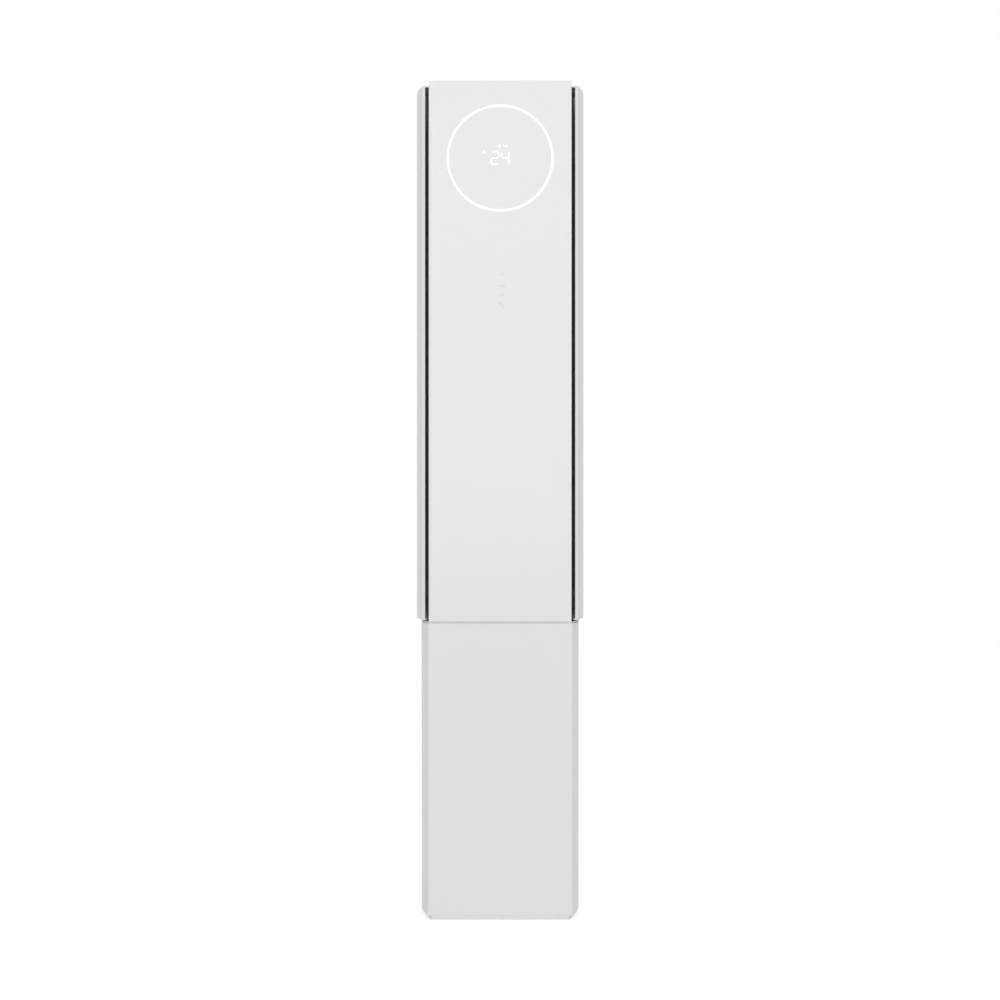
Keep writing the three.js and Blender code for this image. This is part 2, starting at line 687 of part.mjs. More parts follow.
function drainPan() {
  const half = COIL_WIDTH / 2 + PAN_END_MARGIN + COIL_PLATE;
  const y0 = COIL_Y0 - PAN_MARGIN;
  const y1 = COIL_Y1 + PAN_MARGIN;
  const outer = midBox(2 * half, y0, y1, PAN_BOTTOM, PAN_TOP);
  const inner = midBox(
    2 * (half - PAN_WALL),
    y0 + PAN_WALL,
    y1 - PAN_WALL,
    PAN_BOTTOM + PAN_WALL,
    PAN_TOP + OUT,
  );
  const drain = rod(-HOSE_SIDE, COIL_MID_Y, HOSE_RADIUS - HOSE_WALL, PAN_BOTTOM - OUT, PAN_TOP);
  return outer.subtract(inner).subtract(drain);
}

function drainHose() {
  const top = PAN_BOTTOM - SEAT_GAP;
  const end = BACK - COVER_WALL - SEAT_GAP;
  return tube(
    [
      [-HOSE_SIDE, COIL_MID_Y, top],
      [-HOSE_SIDE, COIL_MID_Y, top - HOSE_DROP],
      [-HOSE_SIDE, COIL_MID_Y, HOSE_OUTLET + HOSE_CURVE_RISE],
      [-HOSE_SIDE, COIL_MID_Y + HOSE_CURVE_BACK, HOSE_OUTLET + HOSE_DROP],
      [-HOSE_SIDE, (COIL_MID_Y + end) / 2, HOSE_OUTLET + HOSE_LOW_RISE],
      [-HOSE_SIDE, end - HOSE_TAIL, HOSE_OUTLET],
      [-HOSE_SIDE, end, HOSE_OUTLET],
    ],
    HOSE_RADIUS,
  );
}

// ---- Evaporator ----------------------------------------------------------------------------------

// Upright fins, drawn coarser than real ones, on a thin backing strip that stands for the tubes.
function coil() {
  const pitch = (COIL_WIDTH - COIL_FIN) / (COIL_FINS - 1);
  const section = [
    [COIL_WIDTH / 2, COIL_Y0],
    [-COIL_WIDTH / 2, COIL_Y0],
  ];
  for (let i = 0; i < COIL_FINS; i += 1) {
    const x = -COIL_WIDTH / 2 + pitch * i;
    if (i > 0) section.push([x, COIL_Y0 + COIL_STRIP]);
    section.push([x, COIL_Y1], [x + COIL_FIN, COIL_Y1]);
    if (i < COIL_FINS - 1) section.push([x + COIL_FIN, COIL_Y0 + COIL_STRIP]);
  }
  const points = section.map(([x, y]) => new THREE.Vector2(x, y));
  return prism(new THREE.Shape(points), COIL_BOTTOM, COIL_TOP);
}

const BEND_COUNT = Math.floor((COIL_TOP - COIL_BOTTOM - BEND_FIRST) / BEND_PITCH) - 1;

// Endplate with the return bends that stand out of it; the right one also carries the header.
function coilEnd(side) {
  const near = COIL_WIDTH / 2 + SEAT_GAP;
  const plate = box(near, near + COIL_PLATE, CASING_FRONT, COIL_Y1, COIL_BOTTOM, COIL_TOP);
  const parts = [plate];
  const half = COIL_DEPTH / 4 + BEND_RADIUS;
  for (let i = 0; i < BEND_COUNT; i += 1) {
    const z = COIL_BOTTOM + BEND_FIRST + BEND_PITCH * i;
    const reach = near + COIL_PLATE + BEND_REACH;
    parts.push(box(near, reach, COIL_MID_Y - half, COIL_MID_Y + half, z, z + 2 * BEND_RADIUS));
  }
  if (side > 0) {
    const headerTop = COIL_BOTTOM + HEADER_LENGTH;
    const header = rod(HEADER_X, COIL_MID_Y, HEADER_RADIUS, COIL_BOTTOM, headerTop, PIN_SIDES);
    const link = box(
      near,
      HEADER_X,
      COIL_MID_Y - BEND_RADIUS,
      COIL_MID_Y + BEND_RADIUS,
      headerTop - 2 * HEADER_LINK_HEIGHT,
      headerTop - HEADER_LINK_HEIGHT,
    );
    const foot = box(
      near,
      HEADER_X + HEADER_RADIUS,
      COIL_MID_Y - HEADER_RADIUS,
      COIL_MID_Y + PIPE_SPACING + HEADER_RADIUS,
      COIL_BOTTOM,
      COIL_BOTTOM + HEADER_FOOT_HEIGHT,
    );
    parts.push(header, link, foot);
  }
  const whole = join(parts);
  return side > 0 ? whole : whole.mirror([1, 0, 0]);
}

// ---- Fans ----------------------------------------------------------------------------------------

function fanHeight(i) {
  return FAN_FIRST + FAN_SPACING * i;
}

function blade(turn) {
  const inner = FAN_EYE_RADIUS + FAN_BLADE_EDGE;
  const outer = FAN_RADIUS - FAN_BLADE_EDGE;
  const geometry = new THREE.BoxGeometry(outer - inner, FAN_DEPTH - FAN_PLATE, FAN_BLADE_THICK);
  geometry.rotateY(FAN_BLADE_TURN);
  geometry.translate((inner + outer) / 2, 0, 0);
  geometry.rotateY(turn);
  geometry.translate(0, (FAN_OPEN_Y + FAN_CLOSED_Y) / 2, 0);
  return solidOf(geometry);
}

function fanWheel(i) {
  const z = fanHeight(i);
  const plate = drum(0, 0, FAN_RADIUS, FAN_CLOSED_Y, FAN_CLOSED_Y + FAN_PLATE);
  const rim = drum(0, 0, FAN_RADIUS, FAN_OPEN_Y - FAN_PLATE, FAN_OPEN_Y);
  const ring = rim.subtract(drum(0, 0, FAN_EYE_RADIUS, FAN_OPEN_Y - OUT, FAN_OPEN_Y + OUT));
  const hub = drum(0, 0, FAN_HUB_RADIUS, FAN_CLOSED_Y, FAN_CLOSED_Y + FAN_HUB_LENGTH, PIN_SIDES);
  const shaft = drum(
    0,
    0,
    FAN_SHAFT_RADIUS,
    MOTOR_BACK - MOTOR_BORE_DEPTH + SEAT_GAP,
    FAN_CLOSED_Y + FAN_HUB_LENGTH + FAN_SHAFT_PROUD,
    PIN_SIDES,
  );
  const parts = [plate, ring, hub, shaft];
  for (let b = 0; b < FAN_BLADES; b += 1) {
    parts.push(blade((2 * Math.PI * b) / FAN_BLADES));
  }
  return join(parts).translate([0, 0, z]);
}

function fanMotor(i) {
  const z = fanHeight(i);
  const can = drum(0, z, MOTOR_RADIUS, MOTOR_FRONT, MOTOR_BACK);
  const floor = MOTOR_BACK - MOTOR_BORE_DEPTH;
  const bore = drum(0, z, FAN_SHAFT_RADIUS + RUN_GAP, floor, MOTOR_BACK + OUT, PIN_SIDES);
  return can.subtract(bore);
}

function motorRail() {
  return midBox(RAIL_WIDTH, RAIL_FRONT, RAIL_BACK, UPPER_BOTTOM, UNDER_TOP);
}

// ---- Bulkhead with the fan inlets, the rack guides and the upper shaft bearings ------------------

function inlet(i) {
  const z = fanHeight(i);
  const span = [BULKHEAD_FRONT - INLET_REACH, BULKHEAD_REAR];
  return drum(0, z, INLET_RADIUS + INLET_WALL, ...span);
}

function inletHole(i) {
  return drum(0, fanHeight(i), INLET_RADIUS, BULKHEAD_FRONT - OUT, BULKHEAD_REAR + OUT);
}

function rackGuide(side, z) {
  const half = RACK_HEIGHT / 2 + RUN_GAP;
  const mouth = RACK_ROOT_Y + GUIDE_MOUTH;
  const x0 = SHAFT_SIDE - GUIDE_INNER;
  const x1 = SHAFT_SIDE + GUIDE_OUTER;
  const rear = BULKHEAD_FRONT + ROOT;
  const block = box(x0, x1, mouth, rear, z - half - GUIDE_WALL, z + half + GUIDE_WALL);
  const channel = box(x0 - OUT, x1 + OUT, mouth - OUT, RACK_BACK_Y + RUN_GAP, z - half, z + half);
  const guide = block.subtract(channel);
  return side > 0 ? guide : guide.mirror([1, 0, 0]);
}

function shaftBearing(side) {
  const x = side * SHAFT_SIDE;
  const z0 = RACK_HIGH + BEARING_RISE;
  const z1 = z0 + BEARING_THICK;
  const arm = box(
    x - BEARING_HALF,
    x + BEARING_HALF,
    SHAFT_Y - BEARING_HALF,
    BULKHEAD_FRONT + ROOT,
    z0,
    z1,
  );
  return arm.subtract(rod(x, SHAFT_Y, SHAFT_RADIUS + RUN_GAP, z0 - OUT, z1 + OUT));
}

function bulkhead() {
  const half = CASING_NARROW - SEAT_GAP;
  const parts = [midBox(2 * half, BULKHEAD_FRONT, BULKHEAD_REAR, UPPER_BOTTOM, UNDER_TOP)];
  const holes = [];
  for (let i = 0; i < FAN_COUNT; i += 1) {
    parts.push(inlet(i));
    holes.push(inletHole(i));
  }
  for (const side of [-1, 1]) {
    parts.push(rackGuide(side, RACK_LOW));
    parts.push(rackGuide(side, RACK_HIGH));
    parts.push(shaftBearing(side));
  }
  return cut(join(parts), holes);
}

// ---- Rear casing and the filter cassettes --------------------------------------------------------

const WINDOW_MID = (WINDOW_BOTTOM + WINDOW_TOP) / 2;
const WINDOWS = {
  lower: [WINDOW_BOTTOM, WINDOW_MID - WINDOW_BAR / 2],
  upper: [WINDOW_MID + WINDOW_BAR / 2, WINDOW_TOP],
};
const CASSETTE_FRONT = BACK - CASSETTE_DEPTH;
const LEDGE_BACK = CASSETTE_FRONT - SEAT_GAP;
const LEDGE_FRONT = LEDGE_BACK - CASING_WALL;

function rearCasing() {
  const span = [UPPER_BOTTOM, UNDER_TOP];
  const tall = [UPPER_BOTTOM - OUT, UNDER_TOP + OUT];
  const wide = outline(0, ...span).intersect(between(PARTING_Y + SEAT_GAP, BACK + OUT, 0, HEIGHT));
  const narrow = midBox(2 * CASING_NARROW, CASING_FRONT, PARTING_Y + SEAT_GAP + CASING_WALL, ...span);
  const wideHollow = outline(CASING_WALL, ...tall).intersect(
    between(PARTING_Y + SEAT_GAP + CASING_WALL, BACK + OUT, 0, HEIGHT + OUT),
  );
  const narrowHollow = midBox(2 * (CASING_NARROW - CASING_WALL), CASING_FRONT - OUT, BACK - OUT, ...tall);
  const shell = cut(wide.add(narrow), [wideHollow, narrowHollow]);
  const rimHalf = WINDOW_WIDTH / 2 + WINDOW_FRAME;
  const rim = midBox(
    2 * rimHalf,
    LEDGE_FRONT,
    BACK - CASING_WALL / 2,
    WINDOW_BOTTOM - WINDOW_FRAME,
    WINDOW_TOP + WINDOW_FRAME,
  );
  const holes = [];
  for (const [low, high] of Object.values(WINDOWS)) {
    holes.push(midBox(WINDOW_WIDTH, LEDGE_BACK, BACK + OUT, low, high));
    holes.push(
      midBox(
        WINDOW_WIDTH - 2 * WINDOW_LEDGE,
        LEDGE_FRONT - OUT,
        BACK,
        low + WINDOW_LEDGE,
        high - WINDOW_LEDGE,
      ),
    );
  }
  return cut(shell.add(rim), holes);
}

function cassette([low, high]) {
  const width = WINDOW_WIDTH - 2 * CASSETTE_CLEAR;
  const z0 = low + CASSETTE_CLEAR;
  const z1 = high - CASSETTE_CLEAR;
  const plate = midBox(width, CASSETTE_FRONT, BACK, z0, z1);
  const half = width / 2 - CASSETTE_RIM;
  const mullion = CASSETTE_MULLION / 2;
  const span = [CASSETTE_FRONT - OUT, BACK + OUT];
  const holes = [];
  const room = z1 - z0 - 2 * CASSETTE_RIM - FINGER_HEIGHT - CASSETTE_RIM;
  const count = Math.floor((room + SLOT_PITCH - SLOT_HEIGHT) / SLOT_PITCH);
  for (let i = 0; i < count; i += 1) {
    const z = z0 + CASSETTE_RIM + SLOT_PITCH * i;
    holes.push(box(-half, -mullion, ...span, z, z + SLOT_HEIGHT));
    holes.push(box(mullion, half, ...span, z, z + SLOT_HEIGHT));
  }
  const fingerTop = z1 - CASSETTE_RIM / 2;
  holes.push(midBox(FINGER_WIDTH, BACK - FINGER_DEPTH, BACK + OUT, fingerTop - FINGER_HEIGHT, fingerTop));
  return cut(plate, holes);
}

// The filter's own frame and mesh, seated in front of its cassette.
function filter([low, high]) {
  const margin = WINDOW_LEDGE + CASSETTE_CLEAR + CASSETTE_CLEAR;
  const back = CASSETTE_FRONT - SEAT_GAP;
  return midBox(WINDOW_WIDTH - 2 * margin, back - FILTER_THICK, back, low + margin, high - margin);
}

const COVER_STEP_Y = VANE_Y + VANE_REAR_REACH + COVER_CLEAR;

// Cover over the casing and the fans. It is narrow in front, where the wings' end caps slide over.
function topCover() {
  const span = [TOP_COVER_BOTTOM, UPPER_TOP];
  const rear = outline(0, ...span).intersect(between(PARTING_Y + SEAT_GAP, BACK + OUT, 0, HEIGHT));
  const middle = midBox(2 * CASING_NARROW, COVER_STEP_Y, PARTING_Y + OUT, ...span);
  const front = midBox(2 * (VANE_SIDE - VANE_THICK), FRAME_FRONT, BACK - OUT, ...span);
  return join([rear, middle, front]);
}

// ---- Front frame, front panel, light ring and boards ---------------------------------------------

// A plate with a short wall at each side, two ribs in front of each post, and a bearing lug for each vane.
function frontFrame() {
  const half = PANEL_WIDTH / 2 - FRAME_WALL_SETBACK;
  const plateBack = FRAME_FRONT + FRAME_THICK;
  const wallBack = FRAME_FRONT + FRAME_WALL_DEPTH;
  const near = POST_CENTRE - POST_SIZE / 2;
  const far = POST_CENTRE + POST_SIZE / 2;
  const right = [
    [half, FRAME_FRONT],
    [half, wallBack],
    [half - FRAME_THICK, wallBack],
    [half - FRAME_THICK, plateBack],
    [far, plateBack],
    [far, FRAME_BACK],
    [far - FRAME_THICK, FRAME_BACK],
    [far - FRAME_THICK, plateBack],
    [near + FRAME_THICK, plateBack],
    [near + FRAME_THICK, FRAME_BACK],
    [near, FRAME_BACK],
    [near, plateBack],
  ];
  const left = right.map(([x, y]) => [-x, y]).reverse();
  const section = [...right, ...left].map(([x, y]) => new THREE.Vector2(x, y));
  const frame = prism(new THREE.Shape(section), UPPER_BOTTOM, UNDER_TOP);
  const lugs = [];
  const holes = [];
  for (const side of [-1, 1]) {
    const x = side * VANE_SIDE;
    const low = UNDER_TOP - VANE_PIN_LENGTH;
    const front = wallBack - ROOT;
    const rear = VANE_Y + VANE_LUG_HALF;
    lugs.push(box(x - VANE_LUG_HALF, x + VANE_LUG_HALF, front, rear, low, UNDER_TOP));
    holes.push(rod(x, VANE_Y, VANE_PIN_RADIUS + RUN_GAP, low - OUT, UNDER_TOP - RUN_GAP, PIN_SIDES));
  }
  return cut(join([frame, ...lugs]), holes);
}

function frontPanel() {
  const half = PANEL_WIDTH / 2;
  const round = PANEL_EDGE_ROUND;
  const section = new THREE.Shape();
  section.moveTo(-half, FRONT + PANEL_THICK);
  section.lineTo(-half, FRONT + round);
  section.quadraticCurveTo(-half, FRONT, -half + round, FRONT);
  section.lineTo(half - round, FRONT);
  section.quadraticCurveTo(half, FRONT, half, FRONT + round);
  section.lineTo(half, FRONT + PANEL_THICK);
  const slab = prism(section, PANEL_BOTTOM, HEIGHT, 4);
  const pocket = midBox(
    2 * (half - PANEL_RIM),
    FRONT + PANEL_SKIN,
    FRONT + PANEL_THICK + OUT,
    PANEL_BOTTOM + PANEL_RIM,
    HEIGHT - PANEL_TOP_RIM,
  );
  return slab.subtract(pocket).subtract(ringSolid(SEAT_GAP));
}

const RING_SIDES = 48;

// The ring, or with a margin the groove that holds it.
function ringSolid(margin) {
  const back = FRONT + RING_DEPTH + margin;
  const front = margin > 0 ? FRONT - OUT : FRONT;
  const outer = drum(0, RING_CENTRE, RING_OUTER + margin, front, back, RING_SIDES);
  const inner = drum(0, RING_CENTRE, RING_OUTER - RING_WIDTH - margin, front - OUT, back + OUT, RING_SIDES);
  return outer.subtract(inner);
}

const BOARD_FRONT = FRONT + PANEL_SKIN + SEAT_GAP;
const BOARD_SEAT = FRAME_FRONT - SEAT_GAP;

function displayBoard() {
  const sheet = drum(0, RING_CENTRE, DISPLAY_BOARD_RADIUS, BOARD_FRONT, BOARD_FRONT + BOARD_THICK);
  const low = RING_CENTRE - DISPLAY_BLOCK_HEIGHT / 2;
  const block = midBox(DISPLAY_BLOCK_WIDTH, BOARD_FRONT, BOARD_SEAT, low, low + DISPLAY_BLOCK_HEIGHT);
  return sheet.add(block);
}

function touchBoard() {
  const low = TOUCH_CENTRE - TOUCH_HEIGHT / 2;
  const high = TOUCH_CENTRE + TOUCH_HEIGHT / 2;
  const sheet = midBox(TOUCH_WIDTH, BOARD_FRONT, BOARD_FRONT + BOARD_THICK, low, high);
  const studLow = TOUCH_CENTRE - TOUCH_STUD_HEIGHT / 2;
  const stud = midBox(TOUCH_WIDTH / 2, BOARD_FRONT, BOARD_SEAT, studLow, studLow + TOUCH_STUD_HEIGHT);
  return sheet.add(stud);
}

// ---- Wings and their racks -----------------------------------------------------------------------

const WING_STEPS = 6;

function wingSection() {
  const front = FRONT + WING_SETBACK;
  const noseBack = front + WING_NOSE;
  const rear = FRONT + WING_BACK;
  const inner = PANEL_WIDTH / 2 + OUTLET_WIDTH;
  const outerX = (y) => sideX(y, -WING_PROUD);
  const innerX = (y) => sideX(y, WING_WALL - WING_PROUD);
  const section = new THREE.Shape();
  section.moveTo(inner, front + WING_TIP_ROUND);
  section.quadraticCurveTo(inner, front, inner + WING_TIP_ROUND, front);
  section.quadraticCurveTo(
    outerX(front) - WING_TIP_ROUND,
    front + 2 * WING_TIP_ROUND,
    outerX(noseBack),
    noseBack,
  );
  for (let i = 1; i <= WING_STEPS; i += 1) {
    const y = noseBack + ((rear - noseBack) * i) / WING_STEPS;
    section.lineTo(outerX(y), y);
  }
  for (let i = WING_STEPS; i >= 0; i -= 1) {
    const y = noseBack + ((rear - noseBack) * i) / WING_STEPS;
    section.lineTo(innerX(y), y);
  }
  section.lineTo(inner, front + WING_TIP_ROUND);
  return section;
}

// Space inside a wing, from its skin to x = frontInner before the step and x = rearInner behind it.
function wingInside(frontInner, rearInner, stepY, z0, z1) {
  const rear = FRONT + WING_BACK;
  const inside = outline(WING_WALL - WING_PROUD - ROOT, z0, z1);
  const front = box(frontInner, WIDEST, FRAME_FRONT, stepY, z0, z1);
  const back = box(rearInner, WIDEST, stepY - ROOT, rear, z0, z1);
  return inside.intersect(front.add(back));
}

function wing(side) {
  const skin = prism(wingSection(), WING_BOTTOM, WING_TOP, 4);
  const rearInner = CASING_NARROW + WING_CLOSE_TRAVEL + WING_CAP_CLEAR;
  const capInner = VANE_SIDE - VANE_THICK + WING_CLOSE_TRAVEL + 2 * WING_CAP_CLEAR;
  const sillInner = PANEL_WIDTH / 2 - FRAME_WALL_SETBACK + WING_CLOSE_TRAVEL + WING_CAP_CLEAR;
  const capZ = [WING_TOP - WING_CAP_THICK, WING_TOP];
  const sillZ = [WING_BOTTOM, WING_BOTTOM + WING_CAP_THICK];
  const cap = wingInside(capInner, rearInner, COVER_STEP_Y - WING_CAP_CLEAR - ROOT, ...capZ);
  const sill = wingInside(sillInner, rearInner, COVER_STEP_Y, ...sillZ);
  const rear = FRONT + WING_BACK;
  const skinMiddle = sideX(rear, WING_WALL / 2 - WING_PROUD);
  const lip = box(rearInner, skinMiddle, rear - WING_WALL, rear, WING_BOTTOM, WING_TOP);
  const solid = join([skin, cap, sill, lip]);
  return side > 0 ? solid : solid.mirror([1, 0, 0]);
}

// Half widths of a straight-flanked tooth at its tip and at its root.
const TOOTH_SLOPE = Math.tan(THREE.MathUtils.degToRad(20));
const TIP_HALF = GEAR_TOOTH / 2 - GEAR_TIP * TOOTH_SLOPE;
const ROOT_HALF = GEAR_TOOTH / 2 + GEAR_ROOT * TOOTH_SLOPE;

function rack(side, z) {
  const z0 = z - RACK_HEIGHT / 2;
  const z1 = z + RACK_HEIGHT / 2;
  const foot = [RACK_ROOT_Y + RACK_BODY / 2 - RACK_FOOT_WIDTH / 2, z - RACK_FOOT_HEIGHT / 2];
  const end = sideX(foot[0], WING_WALL - WING_PROUD) - RACK_FOOT_THICK;
  const inner = SHAFT_SIDE - RACK_INNER;
  const parts = [box(inner, end + ROOT, RACK_ROOT_Y, RACK_BACK_Y, z0, z1)];
  const reach = Math.floor((RACK_INNER - GEAR_TOOTH) / GEAR_PITCH);
  for (let i = -reach; i < reach; i += 1) {
    const x = SHAFT_SIDE + GEAR_PITCH * (i + 0.5);
    const tooth = new THREE.Shape([
      new THREE.Vector2(x - ROOT_HALF, RACK_ROOT_Y + ROOT),
      new THREE.Vector2(x - ROOT_HALF, RACK_ROOT_Y),
      new THREE.Vector2(x - TIP_HALF, RACK_PITCH_Y - GEAR_TIP),
      new THREE.Vector2(x + TIP_HALF, RACK_PITCH_Y - GEAR_TIP),
      new THREE.Vector2(x + ROOT_HALF, RACK_ROOT_Y),
      new THREE.Vector2(x + ROOT_HALF, RACK_ROOT_Y + ROOT),
    ]);
    parts.push(prism(tooth, z0, z1));
  }
  const flange = box(end, WIDEST, foot[0], foot[0] + RACK_FOOT_WIDTH, foot[1], foot[1] + RACK_FOOT_HEIGHT);
  const inside = outline(WING_WALL - WING_PROUD + SEAT_GAP, z - OUT, z + OUT);
  parts.push(flange.intersect(inside));
  const solid = join(parts);
  return side > 0 ? solid : solid.mirror([1, 0, 0]);
}

function pinion(x, z) {
  const root = GEAR_RADIUS - GEAR_ROOT;
  const tip = GEAR_RADIUS + GEAR_TIP;
  const section = [];
  for (let i = 0; i < GEAR_TEETH; i += 1) {
    const turn = Math.PI / 2 + (2 * Math.PI * i) / GEAR_TEETH;
    const middle = new THREE.Vector2();
    const corners = [[root, -ROOT_HALF], [tip, -TIP_HALF], [tip, TIP_HALF], [root, ROOT_HALF]];
    for (const [height, half] of corners) {
      section.push(new THREE.Vector2(height, half).rotateAround(middle, turn));
    }
  }
  const wheel = prism(new THREE.Shape(section), z - GEAR_WIDTH / 2, z + GEAR_WIDTH / 2);
  return wheel.translate([x, SHAFT_Y, 0]);
}

const SHAFT_BOTTOM = DECK_BOTTOM - SHAFT_IN_MOTOR;
const SHAFT_TOP = RACK_HIGH + BEARING_RISE + BEARING_THICK + SHAFT_END;

function driveShaft(side) {
  const x = side * SHAFT_SIDE;
  const bar = rod(x, SHAFT_Y, SHAFT_RADIUS, SHAFT_BOTTOM, SHAFT_TOP, PIN_SIDES);
  return join([bar, pinion(x, RACK_LOW), pinion(x, RACK_HIGH)]);
}

function smallMotor(x, y, radius, height, boreRadius, boreDepth) {
  const top = DECK_BOTTOM - SEAT_GAP;
  const can = rod(x, y, radius, top - height, top);
  return can.subtract(rod(x, y, boreRadius, top - boreDepth, top + OUT, COARSE));
}

function wingMotor(side) {
  const x = side * SHAFT_SIDE;
  const bore = SHAFT_RADIUS + RUN_GAP;
  return smallMotor(x, SHAFT_Y, WING_MOTOR_RADIUS, WING_MOTOR_HEIGHT, bore, SHAFT_IN_MOTOR);
}

// ---- Vanes ---------------------------------------------------------------------------------------

const VANE_BOTTOM = DECK_TOP + VANE_END_GAP;
const VANE_TOP = UNDER_TOP - VANE_PIN_LENGTH - VANE_TOP_GAP;

function vane(side) {
  const half = VANE_THICK / 2;
  const section = new THREE.Shape();
  section.moveTo(0, -VANE_FRONT_REACH);
  section.quadraticCurveTo(half, -VANE_FRONT_REACH + half, half, -VANE_FRONT_REACH / 2);
  section.lineTo(half, 0);
  section.lineTo(VANE_TAIL_THICK / 2, VANE_REAR_REACH);
  section.lineTo(-VANE_TAIL_THICK / 2, VANE_REAR_REACH);
  section.lineTo(-half, 0);
  section.lineTo(-half, -VANE_FRONT_REACH / 2);
  section.quadraticCurveTo(-half, -VANE_FRONT_REACH + half, 0, -VANE_FRONT_REACH);
  const blade = prism(section, VANE_BOTTOM, VANE_TOP, 3).rotate([0, 0, side * VANE_REST_DEG]);
  const low = DECK_BOTTOM - VANE_PIN_IN_MOTOR;
  const pin = rod(0, 0, VANE_PIN_RADIUS, low, UNDER_TOP - 2 * RUN_GAP, PIN_SIDES);
  const middle = rod(0, 0, VANE_THICK, VANE_BOTTOM + VANE_PIN_SUNK, VANE_TOP - VANE_PIN_SUNK, PIN_SIDES);
  const ends = pin.subtract(middle);
  return join([blade, ends]).translate([side * VANE_SIDE, VANE_Y, 0]);
}

function vaneMotor(side) {
  const x = side * VANE_SIDE;
  const bore = VANE_PIN_RADIUS + RUN_GAP;
  return smallMotor(x, VANE_Y, VANE_MOTOR_RADIUS, VANE_MOTOR_HEIGHT, bore, VANE_PIN_IN_MOTOR);
}

// ---- Assembly ------------------------------------------------------------------------------------

const unit = new THREE.Group();

function place(group, name, solid, material) {
  const mesh = new THREE.Mesh(geometryOf(solid), material);
  mesh.name = name;
  group.add(mesh);
}

const SIDES = { left: -1, right: 1 };

function addBase() {
  const group = new THREE.Group();
  const frontFoot = FRONT + FOOT_EDGE;
  const rearFoot = BACK - FOOT_EDGE;
  place(group, "base_plate", basePlate(), WHITE);
  for (const [name, side] of Object.entries(SIDES)) {
    place(group, `foot_front_${name}`, foot(side, frontFoot), RUBBER);
    place(group, `foot_rear_${name}`, foot(side, rearFoot), RUBBER);
  }
  unit.add(group);
}

function addLowerCabinet() {
  const group = new THREE.Group();
  place(group, "lower_front_cover", lowerFrontCover(), WHITE);
  place(group, "lower_rear_cover", lowerRearCover(), WHITE);
  place(group, "mid_deck", midDeck(), WHITE);
  place(group, "control_box", controlBox(), STEEL);
  place(group, "control_box_lid", controlBoxLid(), STEEL);
  place(group, "control_board", controlBoard(), BOARD);
  place(group, "terminal_block", terminalBlock(), DARK);
  place(group, "cord_gland", cordGland(), RUBBER);
  unit.add(group);
}

function addChassis() {
  const group = new THREE.Group();
  for (const [name, side] of Object.entries(SIDES)) {
    const x = side * POST_CENTRE;
    const front = channelPost(x, POST_FRONT, COVER_BOTTOM, UNDER_TOP, side);
    const rear = channelPost(x, REAR_POST_Y, COVER_BOTTOM, DECK_BOTTOM - SEAT_GAP, side);
    place(group, `front_post_${name}`, front, STEEL);
    place(group, `rear_post_${name}`, rear, STEEL);
  }
  unit.add(group);
}

function addCooling() {
  const group = new THREE.Group();
  const liquidY = COIL_MID_Y + PIPE_SPACING;
  place(group, "evaporator_core", coil(), ALUMINIUM);
  place(group, "evaporator_end_left", coilEnd(-1), COPPER);
  place(group, "evaporator_end_right", coilEnd(1), COPPER);
  place(group, "gas_pipe", pipe(COIL_MID_Y, GAS_RADIUS), COPPER);
  place(group, "liquid_pipe", pipe(liquidY, LIQUID_RADIUS), COPPER);
  place(group, "gas_flare_nut", flareNut(COIL_MID_Y, GAS_RADIUS), BRASS);
  place(group, "liquid_flare_nut", flareNut(liquidY, LIQUID_RADIUS), BRASS);
  place(group, "drain_pan", drainPan(), NYLON);
  place(group, "drain_hose", drainHose(), RUBBER);
  unit.add(group);
}

function addFans() {
  const group = new THREE.Group();
  const names = ["lower", "middle", "upper"];
  for (let i = 0; i < FAN_COUNT; i += 1) {
    place(group, `fan_wheel_${names[i]}`, fanWheel(i), FAN_PLASTIC);
    place(group, `fan_motor_${names[i]}`, fanMotor(i), STEEL);
  }
  place(group, "motor_rail", motorRail(), STEEL);
  place(group, "fan_bulkhead", bulkhead(), NYLON);
  unit.add(group);
}

function addCasing() {
  const group = new THREE.Group();
  place(group, "rear_casing", rearCasing(), WHITE);
  place(group, "top_cover", topCover(), WHITE);
  for (const [name, window] of Object.entries(WINDOWS)) {
    place(group, `intake_cassette_${name}`, cassette(window), WHITE);
    place(group, `filter_${name}`, filter(window), MESH);
  }
  unit.add(group);
}

function addFront() {
  const group = new THREE.Group();
  place(group, "front_frame", frontFrame(), DARK);
  place(group, "front_panel", frontPanel(), PANEL_WHITE);
  place(group, "light_ring", ringSolid(0), LIGHT);
  place(group, "display_board", displayBoard(), BOARD);
  place(group, "touch_board", touchBoard(), BOARD);
  unit.add(group);
}

function addOutlets() {
  const group = new THREE.Group();
  for (const [name, side] of Object.entries(SIDES)) {
    place(group, `wing_${name}`, wing(side), WHITE);
    place(group, `rack_lower_${name}`, rack(side, RACK_LOW), NYLON);
    place(group, `rack_upper_${name}`, rack(side, RACK_HIGH), NYLON);
    place(group, `drive_shaft_${name}`, driveShaft(side), STEEL);
    place(group, `wing_motor_${name}`, wingMotor(side), STEEL);
    place(group, `vane_${name}`, vane(side), DARK);
    place(group, `vane_motor_${name}`, vaneMotor(side), STEEL);
  }
  unit.add(group);
}

addBase();
addLowerCabinet();
addChassis();
addCooling();
addFans();
addCasing();
addFront();
addOutlets();

export default unit;
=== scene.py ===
"""A tower air conditioner that stands on the floor: its moulded shells, light ring, grilles and finishes.

Metres, +Z up, +X to the viewer's right, and the front faces -Y. The packed model is the frame. Its
bodies carry every piece made here, and the parts inside the cabinet stay as they are with a finish.
"""
import json
import math

import bmesh
import bpy
from bpy.props import FloatProperty, FloatVectorProperty, IntProperty, PointerProperty
from mathutils import Matrix, Vector


